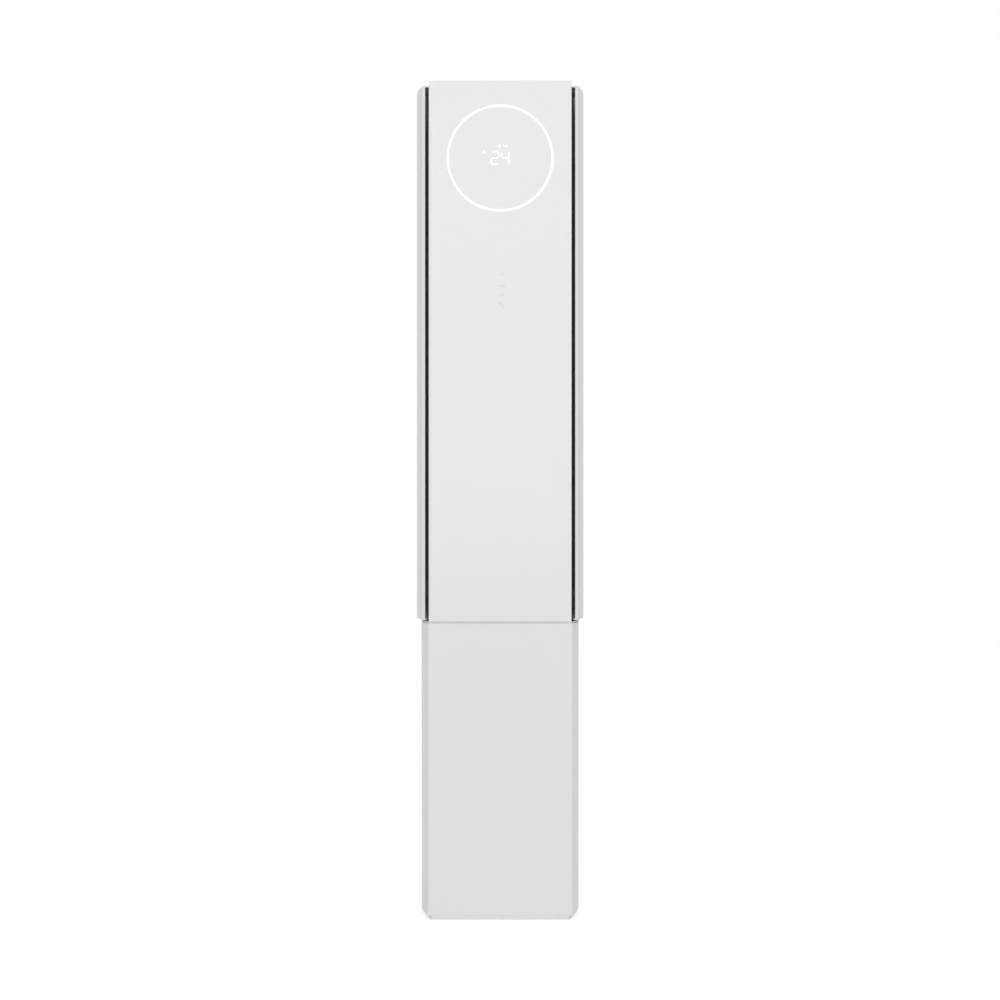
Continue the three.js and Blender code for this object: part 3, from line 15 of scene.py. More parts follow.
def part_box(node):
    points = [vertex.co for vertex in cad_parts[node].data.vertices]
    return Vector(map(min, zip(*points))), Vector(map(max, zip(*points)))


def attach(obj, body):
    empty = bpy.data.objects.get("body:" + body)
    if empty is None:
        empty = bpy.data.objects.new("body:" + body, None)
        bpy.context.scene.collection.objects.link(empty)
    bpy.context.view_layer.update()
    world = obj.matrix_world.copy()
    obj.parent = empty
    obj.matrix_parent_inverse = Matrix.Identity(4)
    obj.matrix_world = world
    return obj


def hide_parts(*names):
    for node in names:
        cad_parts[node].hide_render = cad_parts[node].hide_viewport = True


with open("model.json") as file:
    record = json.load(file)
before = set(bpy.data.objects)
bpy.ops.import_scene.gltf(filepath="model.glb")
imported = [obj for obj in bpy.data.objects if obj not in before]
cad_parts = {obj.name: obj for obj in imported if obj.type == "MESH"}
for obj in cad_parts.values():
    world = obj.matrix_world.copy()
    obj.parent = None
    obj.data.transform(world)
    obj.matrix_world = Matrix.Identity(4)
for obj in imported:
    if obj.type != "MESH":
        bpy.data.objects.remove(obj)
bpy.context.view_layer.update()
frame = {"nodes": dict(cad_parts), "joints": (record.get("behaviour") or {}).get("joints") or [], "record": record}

bl_info = {
    "name": "Tower air conditioner",
    "version": (1, 0, 0),
    "blender": (4, 5, 0),
    "location": "3D View > Sidebar > Tower",
    "description": "Makes a tower air conditioner around its packed frame",
    "category": "Add Mesh",
}

MERGE = 1e-5            # vertices closer than this are one
PAST = 0.05             # a cutting tool runs this far past what it cuts
FAR = 1.0               # a block this big reaches past the lower cabinet
QUARTER = math.pi / 2
SHARP_ANGLE = math.radians(38)
ROUND_STEPS = 48
RING_STEPS = 160
OPENING_STEPS = 64
SCREW_STEPS = 32
SIDES = {"left": -1, "right": 1}
LEVELS = ("lower", "upper")

# Sizes fixed by the packed parts
PIPE_OPENING = (0.150, 0.036)       # height and radius
DRAIN_OPENING = (0.070, 0.014)      # height and radius
GLAND_OPENING = 0.0123              # radius
CASSETTE_CLEAR = 0.0006             # gap round a cassette in its window
CASSETTE_SEAT = 0.0003              # gap behind a cassette's front face
WINDOW_FRAME = 0.006                # width of the frame round the windows
WINDOW_LEDGE = 0.006                # width of the ledge that a cassette rests on
LEDGE_FRONT = 0.1447                # depth at which the windows' frame starts
PACKED_TIP = 0.001                  # the packed wing's edge beside the slot is cut by this much
LIP_END = 0.010                     # the reveal's lip ends this far before the widest place
SEAM = 0.00005                      # faces of two pieces that would lie in one plane stand this far apart

# Feet
TREAD_GROOVE = ((0.5, 0), (0.54, 0.0007), (0.66, 0.0007), (0.7, 0))     # share of the radius, height
PAD_EDGE = 0.0012                   # chamfer at the floor
PAD_SIDE = (0.0006, 0.0034)         # inwards and up
PAD_TOP = (0.0018, 0.004)           # inwards and up

# Screws at the back
COVER_SCREW_SIDE = 0.122
COVER_SCREW_HEIGHTS = (0.030, 0.330, 0.634)
CASING_SCREW_SIDE = 0.125
CASING_SCREW_EDGE = 0.022           # from the casing's top and bottom
SCREW_POCKET = 0.0016               # depth
SCREW_POCKET_RADIUS = 0.0046
SCREW_RADIUS = 0.0034
SCREW_RIM = 0.0005                  # height of the head's edge and of the recess's floor
SCREW_DOME = ((1, SCREW_RIM), (0.86, 0.0010), (0.5, 0.00125), (0, 0.0013))      # share of the radius, height
SCREW_ARM = 0.56                    # length of the recess's arms, as a share of the radius
SCREW_ARM_HALF = 0.0004             # half their width
SCREW_TURN = 3700                   # degrees a metre, so that each screw stops at an angle of its own

# Air vanes
VANE_FRONT = 0.024                  # from the pins to the front edge
VANE_REAR = 0.018                   # from the pins to the tail
VANE_THICK = 0.005
VANE_WAIST = 0.72                   # share of the thickness half way to the tail
VANE_TAIL = 0.0016
VANE_PIN = 0.003                    # radius
VANE_PIN_ROOT = 0.006               # a pin runs this far into the blade
VANE_REST = 25                      # degrees
VANE_END_GAP = 0.011                # from the mid deck up to the blade
VANE_TOP_DROP = 0.010               # from the front frame's top down to the blade
VANE_EDGE = 0.0005                  # rounding
VANE_NOSE_STEPS = 10
VANE_PIN_STEPS = 24

# Cassettes and filters
CASSETTE_EDGE = 0.0007              # rounding
SLAT_ROOT = 0.0005                  # a slat runs this far into the frame
SLAT_ROUND = 0.9                    # rounding of a slat's edges, as a share of half its thickness
FILTER_EDGE = 0.0004                # rounding
FILTER_COLUMNS = 3
FILTER_ROWS = 6
NET_HALF = 0.0003                   # half the net's thickness

# Ring and symbols, across and up from the ring's middle
RING_EDGE = 0.0004                  # rounding
DIGIT_TIP = 0.48                    # the corners that a segment's ends lose, as a share of its width
DROP_PLACE = (-0.0364, 0.0122)
DROP_RADIUS = 0.0038
DROP_NARROWS = 0.4                  # the circle loses this share of its width towards the point
DROP_RISES = 0.55                   # and gains this share of its height
DROP_STEPS = 24
WEDGE_PLACE = (-0.0012, 0.0255)
WEDGE_WIDTH = 0.0082
WEDGE_HEIGHT = 0.0088
WEDGE_SHOULDER = 0.36               # height of its top's ends over its middle, as a share of its height
WEDGE_ARCH = 0.5                    # how strongly its top bulges
WEDGE_STEPS = 8
FLAG_STROKES = (                    # start, end, width and tip
    ((0.0062, 0.0298), (0.0086, 0.0262), 0.0022, 0.0006),
    ((0.0086, 0.0262), (0.0168, 0.0262), 0.0034, 0.0008),
)

# Touch marks, across and up from the touch board's top: start, end, width and tip
MARK_WIDTH = 0.0016
MARK_STROKES = (
    ((-0.0009, -0.0180), (0.0069, -0.0137), MARK_WIDTH, 0),
    ((-0.0046, -0.0410), (0.0126, -0.0410), MARK_WIDTH, 0),
    ((0.0002, -0.0625), (0.0038, -0.0588), MARK_WIDTH, 0),
    ((0.0038, -0.0588), (0.0077, -0.0603), MARK_WIDTH, 0),
    ((-0.0053, -0.0877), (0.0009, -0.0766), MARK_WIDTH, 0),
    ((0.0009, -0.0766), (0.0073, -0.0890), MARK_WIDTH, 0),
)

# Lamps: where each stands and what it faces, as across, in front of the panel and up, and its size
KEY_LAMP = ((0, 6.0, 1.7), (0, 0, 1.1), (3.4, 2.6))
SIDE_LAMP = ((1.6, 0.9, 1.7), (0.1, 0, 1.5), (0.3, 1.4))
LAMP_ABOVE = ((0, 0.8, 4.4), (0, 0.7, 0), (2.4, 1.4))
SENSOR = 36                         # millimetres
FLOOR_TONE = 0.95
FLOOR_ROUGHNESS = 0.9
FLOOR_GLOW = 0.42


# ---- Sizes and colours that a user would change ---------------------------------------------------

def length(name, description, default):
    """A size in metres."""
    return FloatProperty(name=name, description=description, default=default, unit="LENGTH", precision=4)


def power(name, description, default):
    """A lamp's power in watts."""
    return FloatProperty(name=name, description=description, default=default, unit="POWER")


def colour(name, description, default):
    """A colour, in linear values."""
    return FloatVectorProperty(
        name=name, description=description, default=default, size=3, subtype="COLOR", min=0, max=1
    )


class ShellSizes(bpy.types.PropertyGroup):
    """Sizes of the moulded shells."""

    front_half: length("Front half width", "Half the width across the flat front", 0.160)
    widest_back: length("Widest place", "From the front face back to the widest place", 0.230)
    front_corner: length("Front corner", "Radius of the two front corners", 0.004)
    rear_corner: length("Rear corner", "Radius of the two rear corners", 0.045)
    wall: length("Cover wall", "Thickness of the lower covers", 0.0028)
    shelf: length("Shelf", "Width that the lower cover turns in at its top", 0.006)
    shelf_thick: length("Shelf thickness", "Thickness of that shelf", 0.003)
    lip_back: length("Lip setback", "The reveal's lip stands this far behind the front face", 0.0026)
    lip_rise: length("Lip rise", "Height of the reveal's lip over the shelf", 0.0037)
    edge_round: length("Edge rounding", "Rounding of moulded outer edges", 0.0003)
    plinth_inset: length("Plinth inset", "The plinth stands this far inside the cabinet", 0.0009)
    plinth_side: length("Plinth side inset", "The plinth is this much narrower on each side", 0.0076)
    plinth_low: length("Plinth height", "The plinth's lower edge is this far over the floor", 0.0005)
    flange: length("Flange", "Thickness of the base plate's flange under the covers", 0.001)
    casing_wall: length("Casing wall", "Thickness of the rear casing", 0.003)


class PanelSizes(bpy.types.PropertyGroup):
    """Sizes of the front panel."""

    skin: length("Skin", "Thickness of the panel's face", 0.004)
    rim: length("Rim", "Width of the panel's side and bottom rims", 0.005)
    top_rim: length("Top rim", "Height of the panel's top rim", 0.017)
    edge_round: length("Edge rounding", "Rounding of the panel's front edges", 0.0005)
    groove_clear: length("Groove clearance", "Gap on each side of the light ring", 0.0001)


class WingSizes(bpy.types.PropertyGroup):
    """Sizes of the sliding wings."""

    proud: length("Proud", "A wing stands this far outside the cabinet's side", 0.0105)
    wall: length("Wall", "Thickness of a wing's skin", 0.004)
    nose: length("Nose", "Length of the rounded front edge", 0.004)
    nose_bow: length("Nose bow", "The nose's flat face falls back by this much", 0.0005)
    tip_round: length("Tip rounding", "Rounding of the edge beside the slot", 0.001)
    cap: length("Cap thickness", "Thickness of the end cap and of the sill", 0.003)
    edge_round: length("Edge rounding", "Rounding of the top and bottom edges", 0.001)


class DisplaySizes(bpy.types.PropertyGroup):
    """Sizes of the display inside the light ring."""

    number: IntProperty(name="Number", description="Temperature shown", default=24, min=0, max=99)
    digit_width: length("Digit width", "Between the middles of a digit's two sides", 0.0158)
    digit_height: length("Digit height", "Between the middles of a digit's top and bottom", 0.0284)
    digit_spacing: length("Digit spacing", "Between the middles of the digits", 0.0228)
    stroke: length("Stroke", "Width of a segment", 0.0039)
    segment_gap: length("Segment gap", "Between the tips of two segments", 0.0003)
    proud: length("Proud", "The symbols stand this far out of the face", 0.00015)
    sunk: length("Sunk", "The symbols run this far into the face", 0.0006)


class GrilleSizes(bpy.types.PropertyGroup):
    """Sizes of the intake grilles and filters at the back."""

    rim: length("Rim", "Width of a cassette's rim", 0.012)
    mullion: length("Mullion", "Width of the bar in the middle", 0.008)
    slat_pitch: length("Slat pitch", "Height from one slat to the next", 0.012)
    slat_chord: length("Slat chord", "Width of a slat", 0.0125)
    slat_thick: length("Slat thickness", "Thickness of a slat", 0.0018)
    slat_tilt: FloatProperty(
        name="Slat tilt", description="Slope of a slat", default=math.radians(32), subtype="ANGLE"
    )
    finger_width: length("Finger recess width", "Width of the recess that a finger pulls", 0.060)
    finger_height: length("Finger recess height", "Height of that recess", 0.016)
    finger_depth: length("Finger recess depth", "Depth of that recess", 0.007)
    filter_rim: length("Filter rim", "Width of the filter's frame", 0.008)
    filter_rib: length("Filter rib", "Width of the filter's ribs", 0.003)


class FinishColours(bpy.types.PropertyGroup):
    """Colours of the finishes."""

    cabinet: colour("Cabinet", "Satin white of the shells", (0.768, 0.765, 0.782))
    panel: colour("Panel", "Gloss white of the front panel", (0.652, 0.646, 0.666))
    light: colour("Light", "Ring and digits", (1.0, 1.0, 1.0))
    mark: colour("Touch marks", "Faint grey of the printed marks", (0.48, 0.48, 0.49))
    vane: colour("Vane", "Dark grey of the air vanes", (0.075, 0.076, 0.080))


class StageSizes(bpy.types.PropertyGroup):
    """Camera, lamps and floor."""

    camera_away: length("Camera distance", "From the front face to the camera", 8.0)
    camera_height: length("Camera height", "Height of the camera", 0.928)
    camera_side: length("Camera side", "The camera stands this far to the left", 0.00033)
    lens: FloatProperty(name="Lens", description="Focal length", default=130.3, unit="CAMERA")
    key_power: power("Key lamp", "Power of the lamp in front", 73)
    side_power: power("Side lamps", "Power of the lamp at each side", 2.0)
    above_power: power("Lamp above", "Power of the lamp above", 26)
    room_level: FloatProperty(
        name="Room light", description="Strength of the even light", default=0.64, subtype="FACTOR"
    )
    floor_half: length("Floor", "Half the width of the floor", 14.0)


GROUPS = {
    "tower_shell": ShellSizes,
    "tower_panel": PanelSizes,
    "tower_wing": WingSizes,
    "tower_display": DisplaySizes,
    "tower_grille": GrilleSizes,
    "tower_finish": FinishColours,
    "tower_stage": StageSizes,
}


# ---- Drawing and shaping with bmesh ----------------------------------------------------------------

class Pen:
    """Draws a chain of edges at one height, a line or an arc at a time."""

    def __init__(self, bm, x, y, z):
        self.bm = bm
        self.before = set(bm.edges)
        self.first = bm.verts.new((x, y, z))
        self.tip = self.first

    def line(self, x, y):
        """Goes straight to a place."""
        self.tip = bmesh.ops.extrude_vert_indiv(self.bm, verts=[self.tip])["verts"][0]
        self.tip.co = (x, y, self.first.co.z)

    def arc(self, x, y, angle, steps):
        """Turns about a centre, anticlockwise seen from above for a positive angle."""
        spun = bmesh.ops.spin(
            self.bm, geom=[self.tip], cent=(x, y, 0), axis=(0, 0, 1), angle=angle, steps=steps,
            use_duplicate=False,
        )
        self.tip = spun["geom_last"][0]

    def curve(self, start, middle, end, steps):
        """Follows a quadratic curve from the tip's place to the end."""
        for step in range(1, steps + 1):
            t = step / steps
            x, y = ((1 - t) ** 2 * a + 2 * t * (1 - t) * b + t**2 * c for a, b, c in zip(start, middle, end))
            self.line(x, y)

    def close(self):
        """Joins the tip to the first vertex."""
        self.bm.edges.new((self.tip, self.first))

    def drawn(self):
        """The edges drawn so far."""
        return [edge for edge in self.bm.edges if edge not in self.before]


def rounded(corners, radius, steps=3):
    """A closed profile whose corners are turned through curves of about the radius."""
    points = []
    for i, (x, y) in enumerate(corners):
        corner = Vector((x, y))
        before = (Vector(corners[i - 1]) - corner).normalized()
        after = (Vector(corners[(i + 1) % len(corners)]) - corner).normalized()
        for step in range(steps + 1):
            t = step / steps
            points.append(corner + radius * ((1 - t) ** 2 * before + t**2 * after))
    return points


def loft(bm, rings, closed=False):
    """Skins a run of edge chains, from the last back to the first too where it closes on itself."""
    following = rings[1:] + rings[:1] if closed else rings[1:]
    for near, far in zip(rings, following):
        bmesh.ops.bridge_loops(bm, edges=near + far)


def cap(bm, edges):
    """Fills a closed chain of edges with one face."""
    return bmesh.ops.contextual_create(bm, geom=edges)["faces"]


def since(bm, before):
    """The vertices made since a set of them was taken."""
    return [vert for vert in bm.verts if vert not in before]


def extruded(bm, faces, shift):
    """Extrudes flat faces by a shift, and keeps the first ones too."""
    before = set(bm.verts)
    bmesh.ops.extrude_face_region(bm, geom=faces, use_keep_orig=True)
    bmesh.ops.translate(bm, vec=shift, verts=since(bm, before))


def raised(pen, height):
    """Closes an outline and raises it into a solid."""
    pen.close()
    extruded(pen.bm, cap(pen.bm, pen.drawn()), (0, 0, height))
    return pen.bm


def mirrored(bm):
    """Completes the right half with its left half, and leaves no wall in the middle plane."""
    walls = [face for face in bm.faces if all(abs(vert.co.x) < MERGE for vert in face.verts)]
    bmesh.ops.delete(bm, geom=walls, context="FACES")
    bmesh.ops.mirror(bm, geom=bm.verts[:] + bm.edges[:] + bm.faces[:], axis="X", merge_dist=MERGE)


def mirrored_plate(pen, height):
    """Raises the right half of an outline and completes it, with no seam over the middle."""
    bm = raised(pen, height)
    mirrored(bm)
    seam = [edge for edge in bm.edges if in_middle(edge)]
    bmesh.ops.dissolve_edges(bm, edges=seam, use_verts=False)
    return bm


def in_middle(edge):
    """Whether an edge lies in the middle plane and is level."""
    first, second = (vert.co for vert in edge.verts)
    return max(abs(first.x), abs(second.x), abs(first.z - second.z)) < MERGE


def at_depth(edges, y):
    """Those edges that lie wholly at a depth."""
    return [edge for edge in edges if all(abs(vert.co.y - y) < MERGE for vert in edge.verts)]


def rail(profile, draw, end_y):
    """Sweeps a profile of (inset, height) points along the right half, ends it at a depth and mirrors it."""
    bm = bmesh.new()
    loft(bm, [draw(bm, inset, z).drawn() for inset, z in profile], closed=True)
    cap(bm, at_depth(bm.edges, end_y))
    mirrored(bm)
    return bm


def tidied(bm):
    """Merges what coincides and turns every face outwards."""
    bmesh.ops.remove_doubles(bm, verts=bm.verts[:], dist=MERGE)
    bmesh.ops.dissolve_degenerate(bm, edges=bm.edges[:], dist=MERGE)
    bmesh.ops.recalc_face_normals(bm, faces=bm.faces[:])


def block(bm, low, high):
    """A block between two corners, and its vertices."""
    size = Vector(high) - Vector(low)
    middle = (Vector(low) + Vector(high)) / 2
    matrix = Matrix.Translation(middle) @ Matrix.Diagonal((*size, 1))
    return bmesh.ops.create_cube(bm, size=1, matrix=matrix)["verts"]


def edges_of(bm, verts):
    """The edges whose ends are both among the vertices."""
    chosen = set(verts)
    return [edge for edge in bm.edges if set(edge.verts) <= chosen]


def soften(bm, edges, radius, segments=3):
    """Rounds edges."""
    bmesh.ops.bevel(
        bm, geom=edges, offset=radius, offset_type="OFFSET", segments=segments, profile=0.5,
        affect="EDGES", clamp_overlap=True, material=-1,
    )


def turned(bm, profile, matrix, steps=ROUND_STEPS):
    """Spins a closed profile of (radius, height) points right round, and puts it in place."""
    before = set(bm.verts)
    chain = [bm.verts.new((radius, 0, height)) for radius, height in profile]
    edges = [bm.edges.new(pair) for pair in zip(chain, chain[1:] + chain[:1])]
    bmesh.ops.spin(
        bm, geom=chain + edges, cent=(0, 0, 0), axis=(0, 0, 1), angle=2 * math.pi, steps=steps,
        use_merge=True, use_duplicate=False,
    )
    bmesh.ops.transform(bm, matrix=matrix, verts=since(bm, before))


def facing_front(x, y, z):
    """Places a turned shape with its axis along Y and its heights pointing to the front."""
    return Matrix.Translation((x, y, z)) @ Matrix.Rotation(QUARTER, 4, "X")


def facing_back(x, y, z):
    """Places a turned shape with its axis along Y and its heights pointing to the back."""
    return Matrix.Translation((x, y, z)) @ Matrix.Rotation(-QUARTER, 4, "X")


def bore(place, radius, depth, steps):
    """A round tool that cuts this deep into a back face."""
    tool = bmesh.new()
    profile = [(0, -depth), (radius, -depth), (radius, PAST), (0, PAST)]
    turned(tool, profile, facing_back(*place), steps)
    return tool


def temporary(bm):
    """A passing object for a Boolean step."""
    tidied(bm)
    mesh = bpy.data.meshes.new("passing")
    bm.to_mesh(mesh)
    bm.free()
    made = bpy.data.objects.new("passing", mesh)
    bpy.context.scene.collection.objects.link(made)
    return made


def combined(bm, operation, tools):
    """Cuts the tools out of a mesh, joins them to it or keeps what they share, and gives the new mesh."""
    work = temporary(bm)
    helpers = [temporary(tool) for tool in tools]
    for helper in helpers:
        step = work.modifiers.new("step", "BOOLEAN")
        step.operation = operation
        step.solver = "EXACT"
        step.object = helper
    result = bmesh.new()
    result.from_object(work, bpy.context.evaluated_depsgraph_get())
    for passing in [work, *helpers]:
        mesh = passing.data
        bpy.data.objects.remove(passing)
        bpy.data.meshes.remove(mesh)
    return result


def blocks(*corner_pairs):
    """Separate tools, each one block."""
    tools = []
    for low, high in corner_pairs:
        tool = bmesh.new()
        block(tool, low, high)
        tools.append(tool)
    return tools


def middle_of(node):
    """The middle of a packed part's box."""
    low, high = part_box(node)
    return (low + high) / 2


def slot_of(node):
    """The record's material slot of a packed part."""
    for part in frame["record"]["subparts"]:
        if part["node"] == node:
            return part["material_slot"]
    raise RuntimeError(f"the record gives no material slot for {node}")


def body_of(node):
    """The body that carries a packed part."""
    for body, nodes in frame["record"]["behaviour"]["bodies"].items():
        if node in nodes:
            return body
    raise RuntimeError(f"no body carries {node}")


def make_piece(name, bm, node, slot=None, replaces=False, bevel=0.0, material=None):
    """Makes a finished piece that rides with a packed part and may stand for it."""
    tidied(bm)
    for face in bm.faces:
        face.smooth = True
    for edge in bm.edges:
        edge.smooth = edge.calc_face_angle(0) < SHARP_ANGLE
    mesh = bpy.data.meshes.new(name)
    bm.to_mesh(mesh)
    bm.free()
    piece = bpy.data.objects.new(name, mesh)
    bpy.context.scene.collection.objects.link(piece)
    if bevel:
        edge_round = piece.modifiers.new("Edge rounding", "BEVEL")
        edge_round.width = bevel
        edge_round.segments = 3
        edge_round.limit_method = "ANGLE"
        edge_round.angle_limit = SHARP_ANGLE
        edge_round.use_clamp_overlap = True
    shading = piece.modifiers.new("Shading", "WEIGHTED_NORMAL")
    shading.keep_sharp = not bevel
    slot = slot or slot_of(node)
    mesh.materials.append(material or finish(slot))
    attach(piece, body_of(node))
    if replaces:
        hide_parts(node)
    return piece


# ---- The plan shared by the covers, the plinth, the casing and the wings ---------------------------

class Plan:
    """The cabinet seen from above: a flat front, long curved sides and round rear corners."""

    corner_steps = 6
    side_steps = 26
    rear_steps = 14
    sharpest = 0.0005

    def __init__(self):
        sizes = bpy.context.scene.tower_shell
        low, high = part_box("lower_front_cover")
        self.front = low.y
        self.parting = high.y
        self.half = high.x
        self.rear_start, self.back = (corner.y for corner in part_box("lower_rear_cover"))
        self.widest_y = self.front + sizes.widest_back
        self.corner = sizes.front_corner
        self.rear_corner = sizes.rear_corner
        drop = self.half - sizes.front_half
        self.radius = (sizes.widest_back**2 + drop**2) / (2 * drop)
        self.middle_x = self.half - self.radius

    def side_x(self, y, inset=0.0):
        """Half width at a depth, moved in by inset."""
        if y >= self.widest_y:
            return self.half - inset
        return self.middle_x + math.sqrt((self.radius - inset) ** 2 - (self.widest_y - y) ** 2)

    def front_pen(self, bm, inset, z):
        """A pen that has gone round the front corner and along the side, moved in by inset."""
        corner = max(self.corner - inset, self.sharpest)
        y = self.front + inset + corner
        reach = math.sqrt((self.radius - inset - corner) ** 2 - (y - self.widest_y) ** 2)
        turn = math.atan2(y - self.widest_y, reach)
        x = self.middle_x + reach
        pen = Pen(bm, 0, self.front + inset, z)
        pen.line(x, y - corner)
        pen.arc(x, y, QUARTER + turn, self.corner_steps)
        pen.arc(self.middle_x, self.widest_y, -turn, self.side_steps)
        pen.line(self.half - inset, self.parting)
        return pen

    def rear_pen(self, bm, inset, z):
        """A pen that has gone from the parting round to the middle of the back, moved in by inset."""
        pen = Pen(bm, self.half - inset, self.rear_start, z)
        self.rear_path(pen, inset)
        return pen

    def rear_path(self, pen, inset):
        """Goes from the side round the rear corner to the middle of the back."""
        x = self.half - self.rear_corner
        y = self.back - self.rear_corner
        pen.line(self.half - inset, y)
        pen.arc(x, y, QUARTER, self.rear_steps)
        pen.line(0, self.back - inset)


# ---- Finishes --------------------------------------------------------------------------------------

# A Mix node's sockets for colours
MIX_SHARE, MIX_FIRST, MIX_SECOND = 0, 6, 7
MIX_COLOUR = 2


def new_group(name, inputs, outputs):
    """An empty shader node group with its sockets, and its two end nodes."""
    group = bpy.data.node_groups.new(name, "ShaderNodeTree")
    for socket, (kind, value) in inputs.items():
        made = group.interface.new_socket(socket, in_out="INPUT", socket_type=kind)
        made.default_value = value
    for socket, kind in outputs.items():
        group.interface.new_socket(socket, in_out="OUTPUT", socket_type=kind)
    return group, group.nodes.new("NodeGroupInput"), group.nodes.new("NodeGroupOutput")


def noise(tree, vector, scale, detail=2.0):
    """A noise texture read at a vector, with its scale as a number or a socket."""
    node = tree.nodes.new("ShaderNodeTexNoise")
    tree.links.new(vector, node.inputs["Vector"])
    node.inputs["Detail"].default_value = detail
    put(tree, scale, node.inputs["Scale"])
    return node.outputs["Fac"]


def put(tree, value, socket):
    """Links an output to a socket, or sets a plain value on it."""
    if isinstance(value, bpy.types.NodeSocket):
        tree.links.new(value, socket)
    else:
        socket.default_value = value


def calculated(tree, operation, *values):
    """A Math node's result."""
    node = tree.nodes.new("ShaderNodeMath")
    node.operation = operation
    for value, socket in zip(values, node.inputs):
        put(tree, value, socket)
    return node.outputs["Value"]


def ranged(tree, value, low, high, to_low, to_high):
    """A value moved from one range to another, and held there."""
    node = tree.nodes.new("ShaderNodeMapRange")
    for given, socket in zip((value, low, high, to_low, to_high), node.inputs):
        put(tree, given, socket)
    return node.outputs["Result"]


def mixed(tree, share, first, second):
    """A mix of two colours."""
    node = tree.nodes.new("ShaderNodeMix")
    node.data_type = "RGBA"
    put(tree, share, node.inputs[MIX_SHARE])
    put(tree, first, node.inputs[MIX_FIRST])
    put(tree, second, node.inputs[MIX_SECOND])
    return node.outputs[MIX_COLOUR]


def place_of(tree, stretch=None):
    """The point on the object, squeezed along its axes where a stretch is given."""
    point = tree.nodes.new("ShaderNodeTexCoord").outputs["Object"]
    if stretch is None:
        return point
    mapping = tree.nodes.new("ShaderNodeMapping")
    mapping.inputs["Scale"].default_value = stretch
    tree.links.new(point, mapping.inputs["Vector"])
    return mapping.outputs["Vector"]


def moulded_group():
    """Moulded plastic: a fine grain, slow shifts of tone and a patchy gloss."""
    name = "Moulded surface"
    if name in bpy.data.node_groups:
        return bpy.data.node_groups[name]
    group, given, out = new_group(
        name,
        {
            "Colour": ("NodeSocketColor", (0.8, 0.8, 0.8, 1)),
            "Tone shift": ("NodeSocketFloat", 0.02),
            "Roughness": ("NodeSocketFloat", 0.4),
            "Roughness shift": ("NodeSocketFloat", 0.05),
            "Grain scale": ("NodeSocketFloat", 1500.0),
        },
        {"Colour": "NodeSocketColor", "Roughness": "NodeSocketFloat", "Height": "NodeSocketFloat"},
    )
    point = place_of(group)
    broad = calculated(group, "SUBTRACT", noise(group, point, 4.0), 0.5)
    tone = calculated(group, "MULTIPLY", broad, given.outputs["Tone shift"])
    scaled = group.nodes.new("ShaderNodeVectorMath")
    scaled.operation = "SCALE"
    group.links.new(given.outputs["Colour"], scaled.inputs[0])
    group.links.new(calculated(group, "ADD", tone, 1.0), scaled.inputs["Scale"])
    group.links.new(scaled.outputs["Vector"], out.inputs["Colour"])
    patch = calculated(group, "SUBTRACT", noise(group, point, 22.0, 4.0), 0.5)
    shift = calculated(group, "MULTIPLY", patch, given.outputs["Roughness shift"])
    roughness = calculated(group, "ADD", shift, given.outputs["Roughness"])
    group.links.new(roughness, out.inputs["Roughness"])
    group.links.new(noise(group, point, given.outputs["Grain scale"]), out.inputs["Height"])
    return group


def new_material(name):
    """A material with its tree and its main shader."""
    material = bpy.data.materials.new(name)
    material.use_nodes = True
    return material, material.node_tree, material.node_tree.nodes["Principled BSDF"]


def bumped(tree, shader, height, strength, distance):
    """Feeds a height through a Bump node to the shader's normal."""
    node = tree.nodes.new("ShaderNodeBump")
    node.inputs["Strength"].default_value = strength
    node.inputs["Distance"].default_value = distance
    tree.links.new(height, node.inputs["Height"])
    tree.links.new(node.outputs["Normal"], shader.inputs["Normal"])


def moulded(
    name, tint, roughness, tone=0.02, gloss=0.05, grain=1500.0, depth=0.00001, coat=0.0, specular=0.5
):
    """A moulded plastic finish."""
    material, tree, shader = new_material(name)
    shader.inputs["Specular IOR Level"].default_value = specular
    surface = tree.nodes.new("ShaderNodeGroup")
    surface.node_tree = moulded_group()
    surface.inputs["Colour"].default_value = (*tint, 1)
    surface.inputs["Tone shift"].default_value = tone
    surface.inputs["Roughness"].default_value = roughness
    surface.inputs["Roughness shift"].default_value = gloss
    surface.inputs["Grain scale"].default_value = grain
    tree.links.new(surface.outputs["Colour"], shader.inputs["Base Color"])
    tree.links.new(surface.outputs["Roughness"], shader.inputs["Roughness"])
    bumped(tree, shader, surface.outputs["Height"], 0.5, depth)
    if coat:
        shader.inputs["Coat Weight"].default_value = coat
        shader.inputs["Coat Roughness"].default_value = 0.04
    return material


def cabinet_white(name):
    """Satin white moulding of the covers, casing and wings."""
    tint = bpy.context.scene.tower_finish.cabinet
    return moulded(name, tint, 0.5, tone=0.012, gloss=0.04, grain=1800, depth=0.000006, specular=0.12)


def panel_white(name):
    """Gloss white of the front panel."""
    tint = bpy.context.scene.tower_finish.panel
    return moulded(name, tint, 0.2, tone=0.008, gloss=0.03, grain=700, depth=0.000001, coat=0.5)


def inner_plastic(name):
    """Natural plastic of the bulkhead, pan and racks."""
    return moulded(name, (0.62, 0.62, 0.59), 0.5, tone=0.06, gloss=0.12, grain=900, depth=0.00003)


def fan_plastic(name):
    """Grey glass-filled plastic of the fan wheels."""
    return moulded(name, (0.085, 0.092, 0.10), 0.5, tone=0.15, gloss=0.2, grain=650, depth=0.00004)


def frame_grey(name):
    """Grey moulding of the frame behind the panel."""
    return moulded(name, (0.06, 0.06, 0.063), 0.55, tone=0.08, gloss=0.1, grain=900, depth=0.00003)


def vane_grey(name):
    """Matt dark grey of the air vanes."""
    tint = bpy.context.scene.tower_finish.vane
    return moulded(name, tint, 0.5, tone=0.10, gloss=0.12, grain=1400, depth=0.00002)


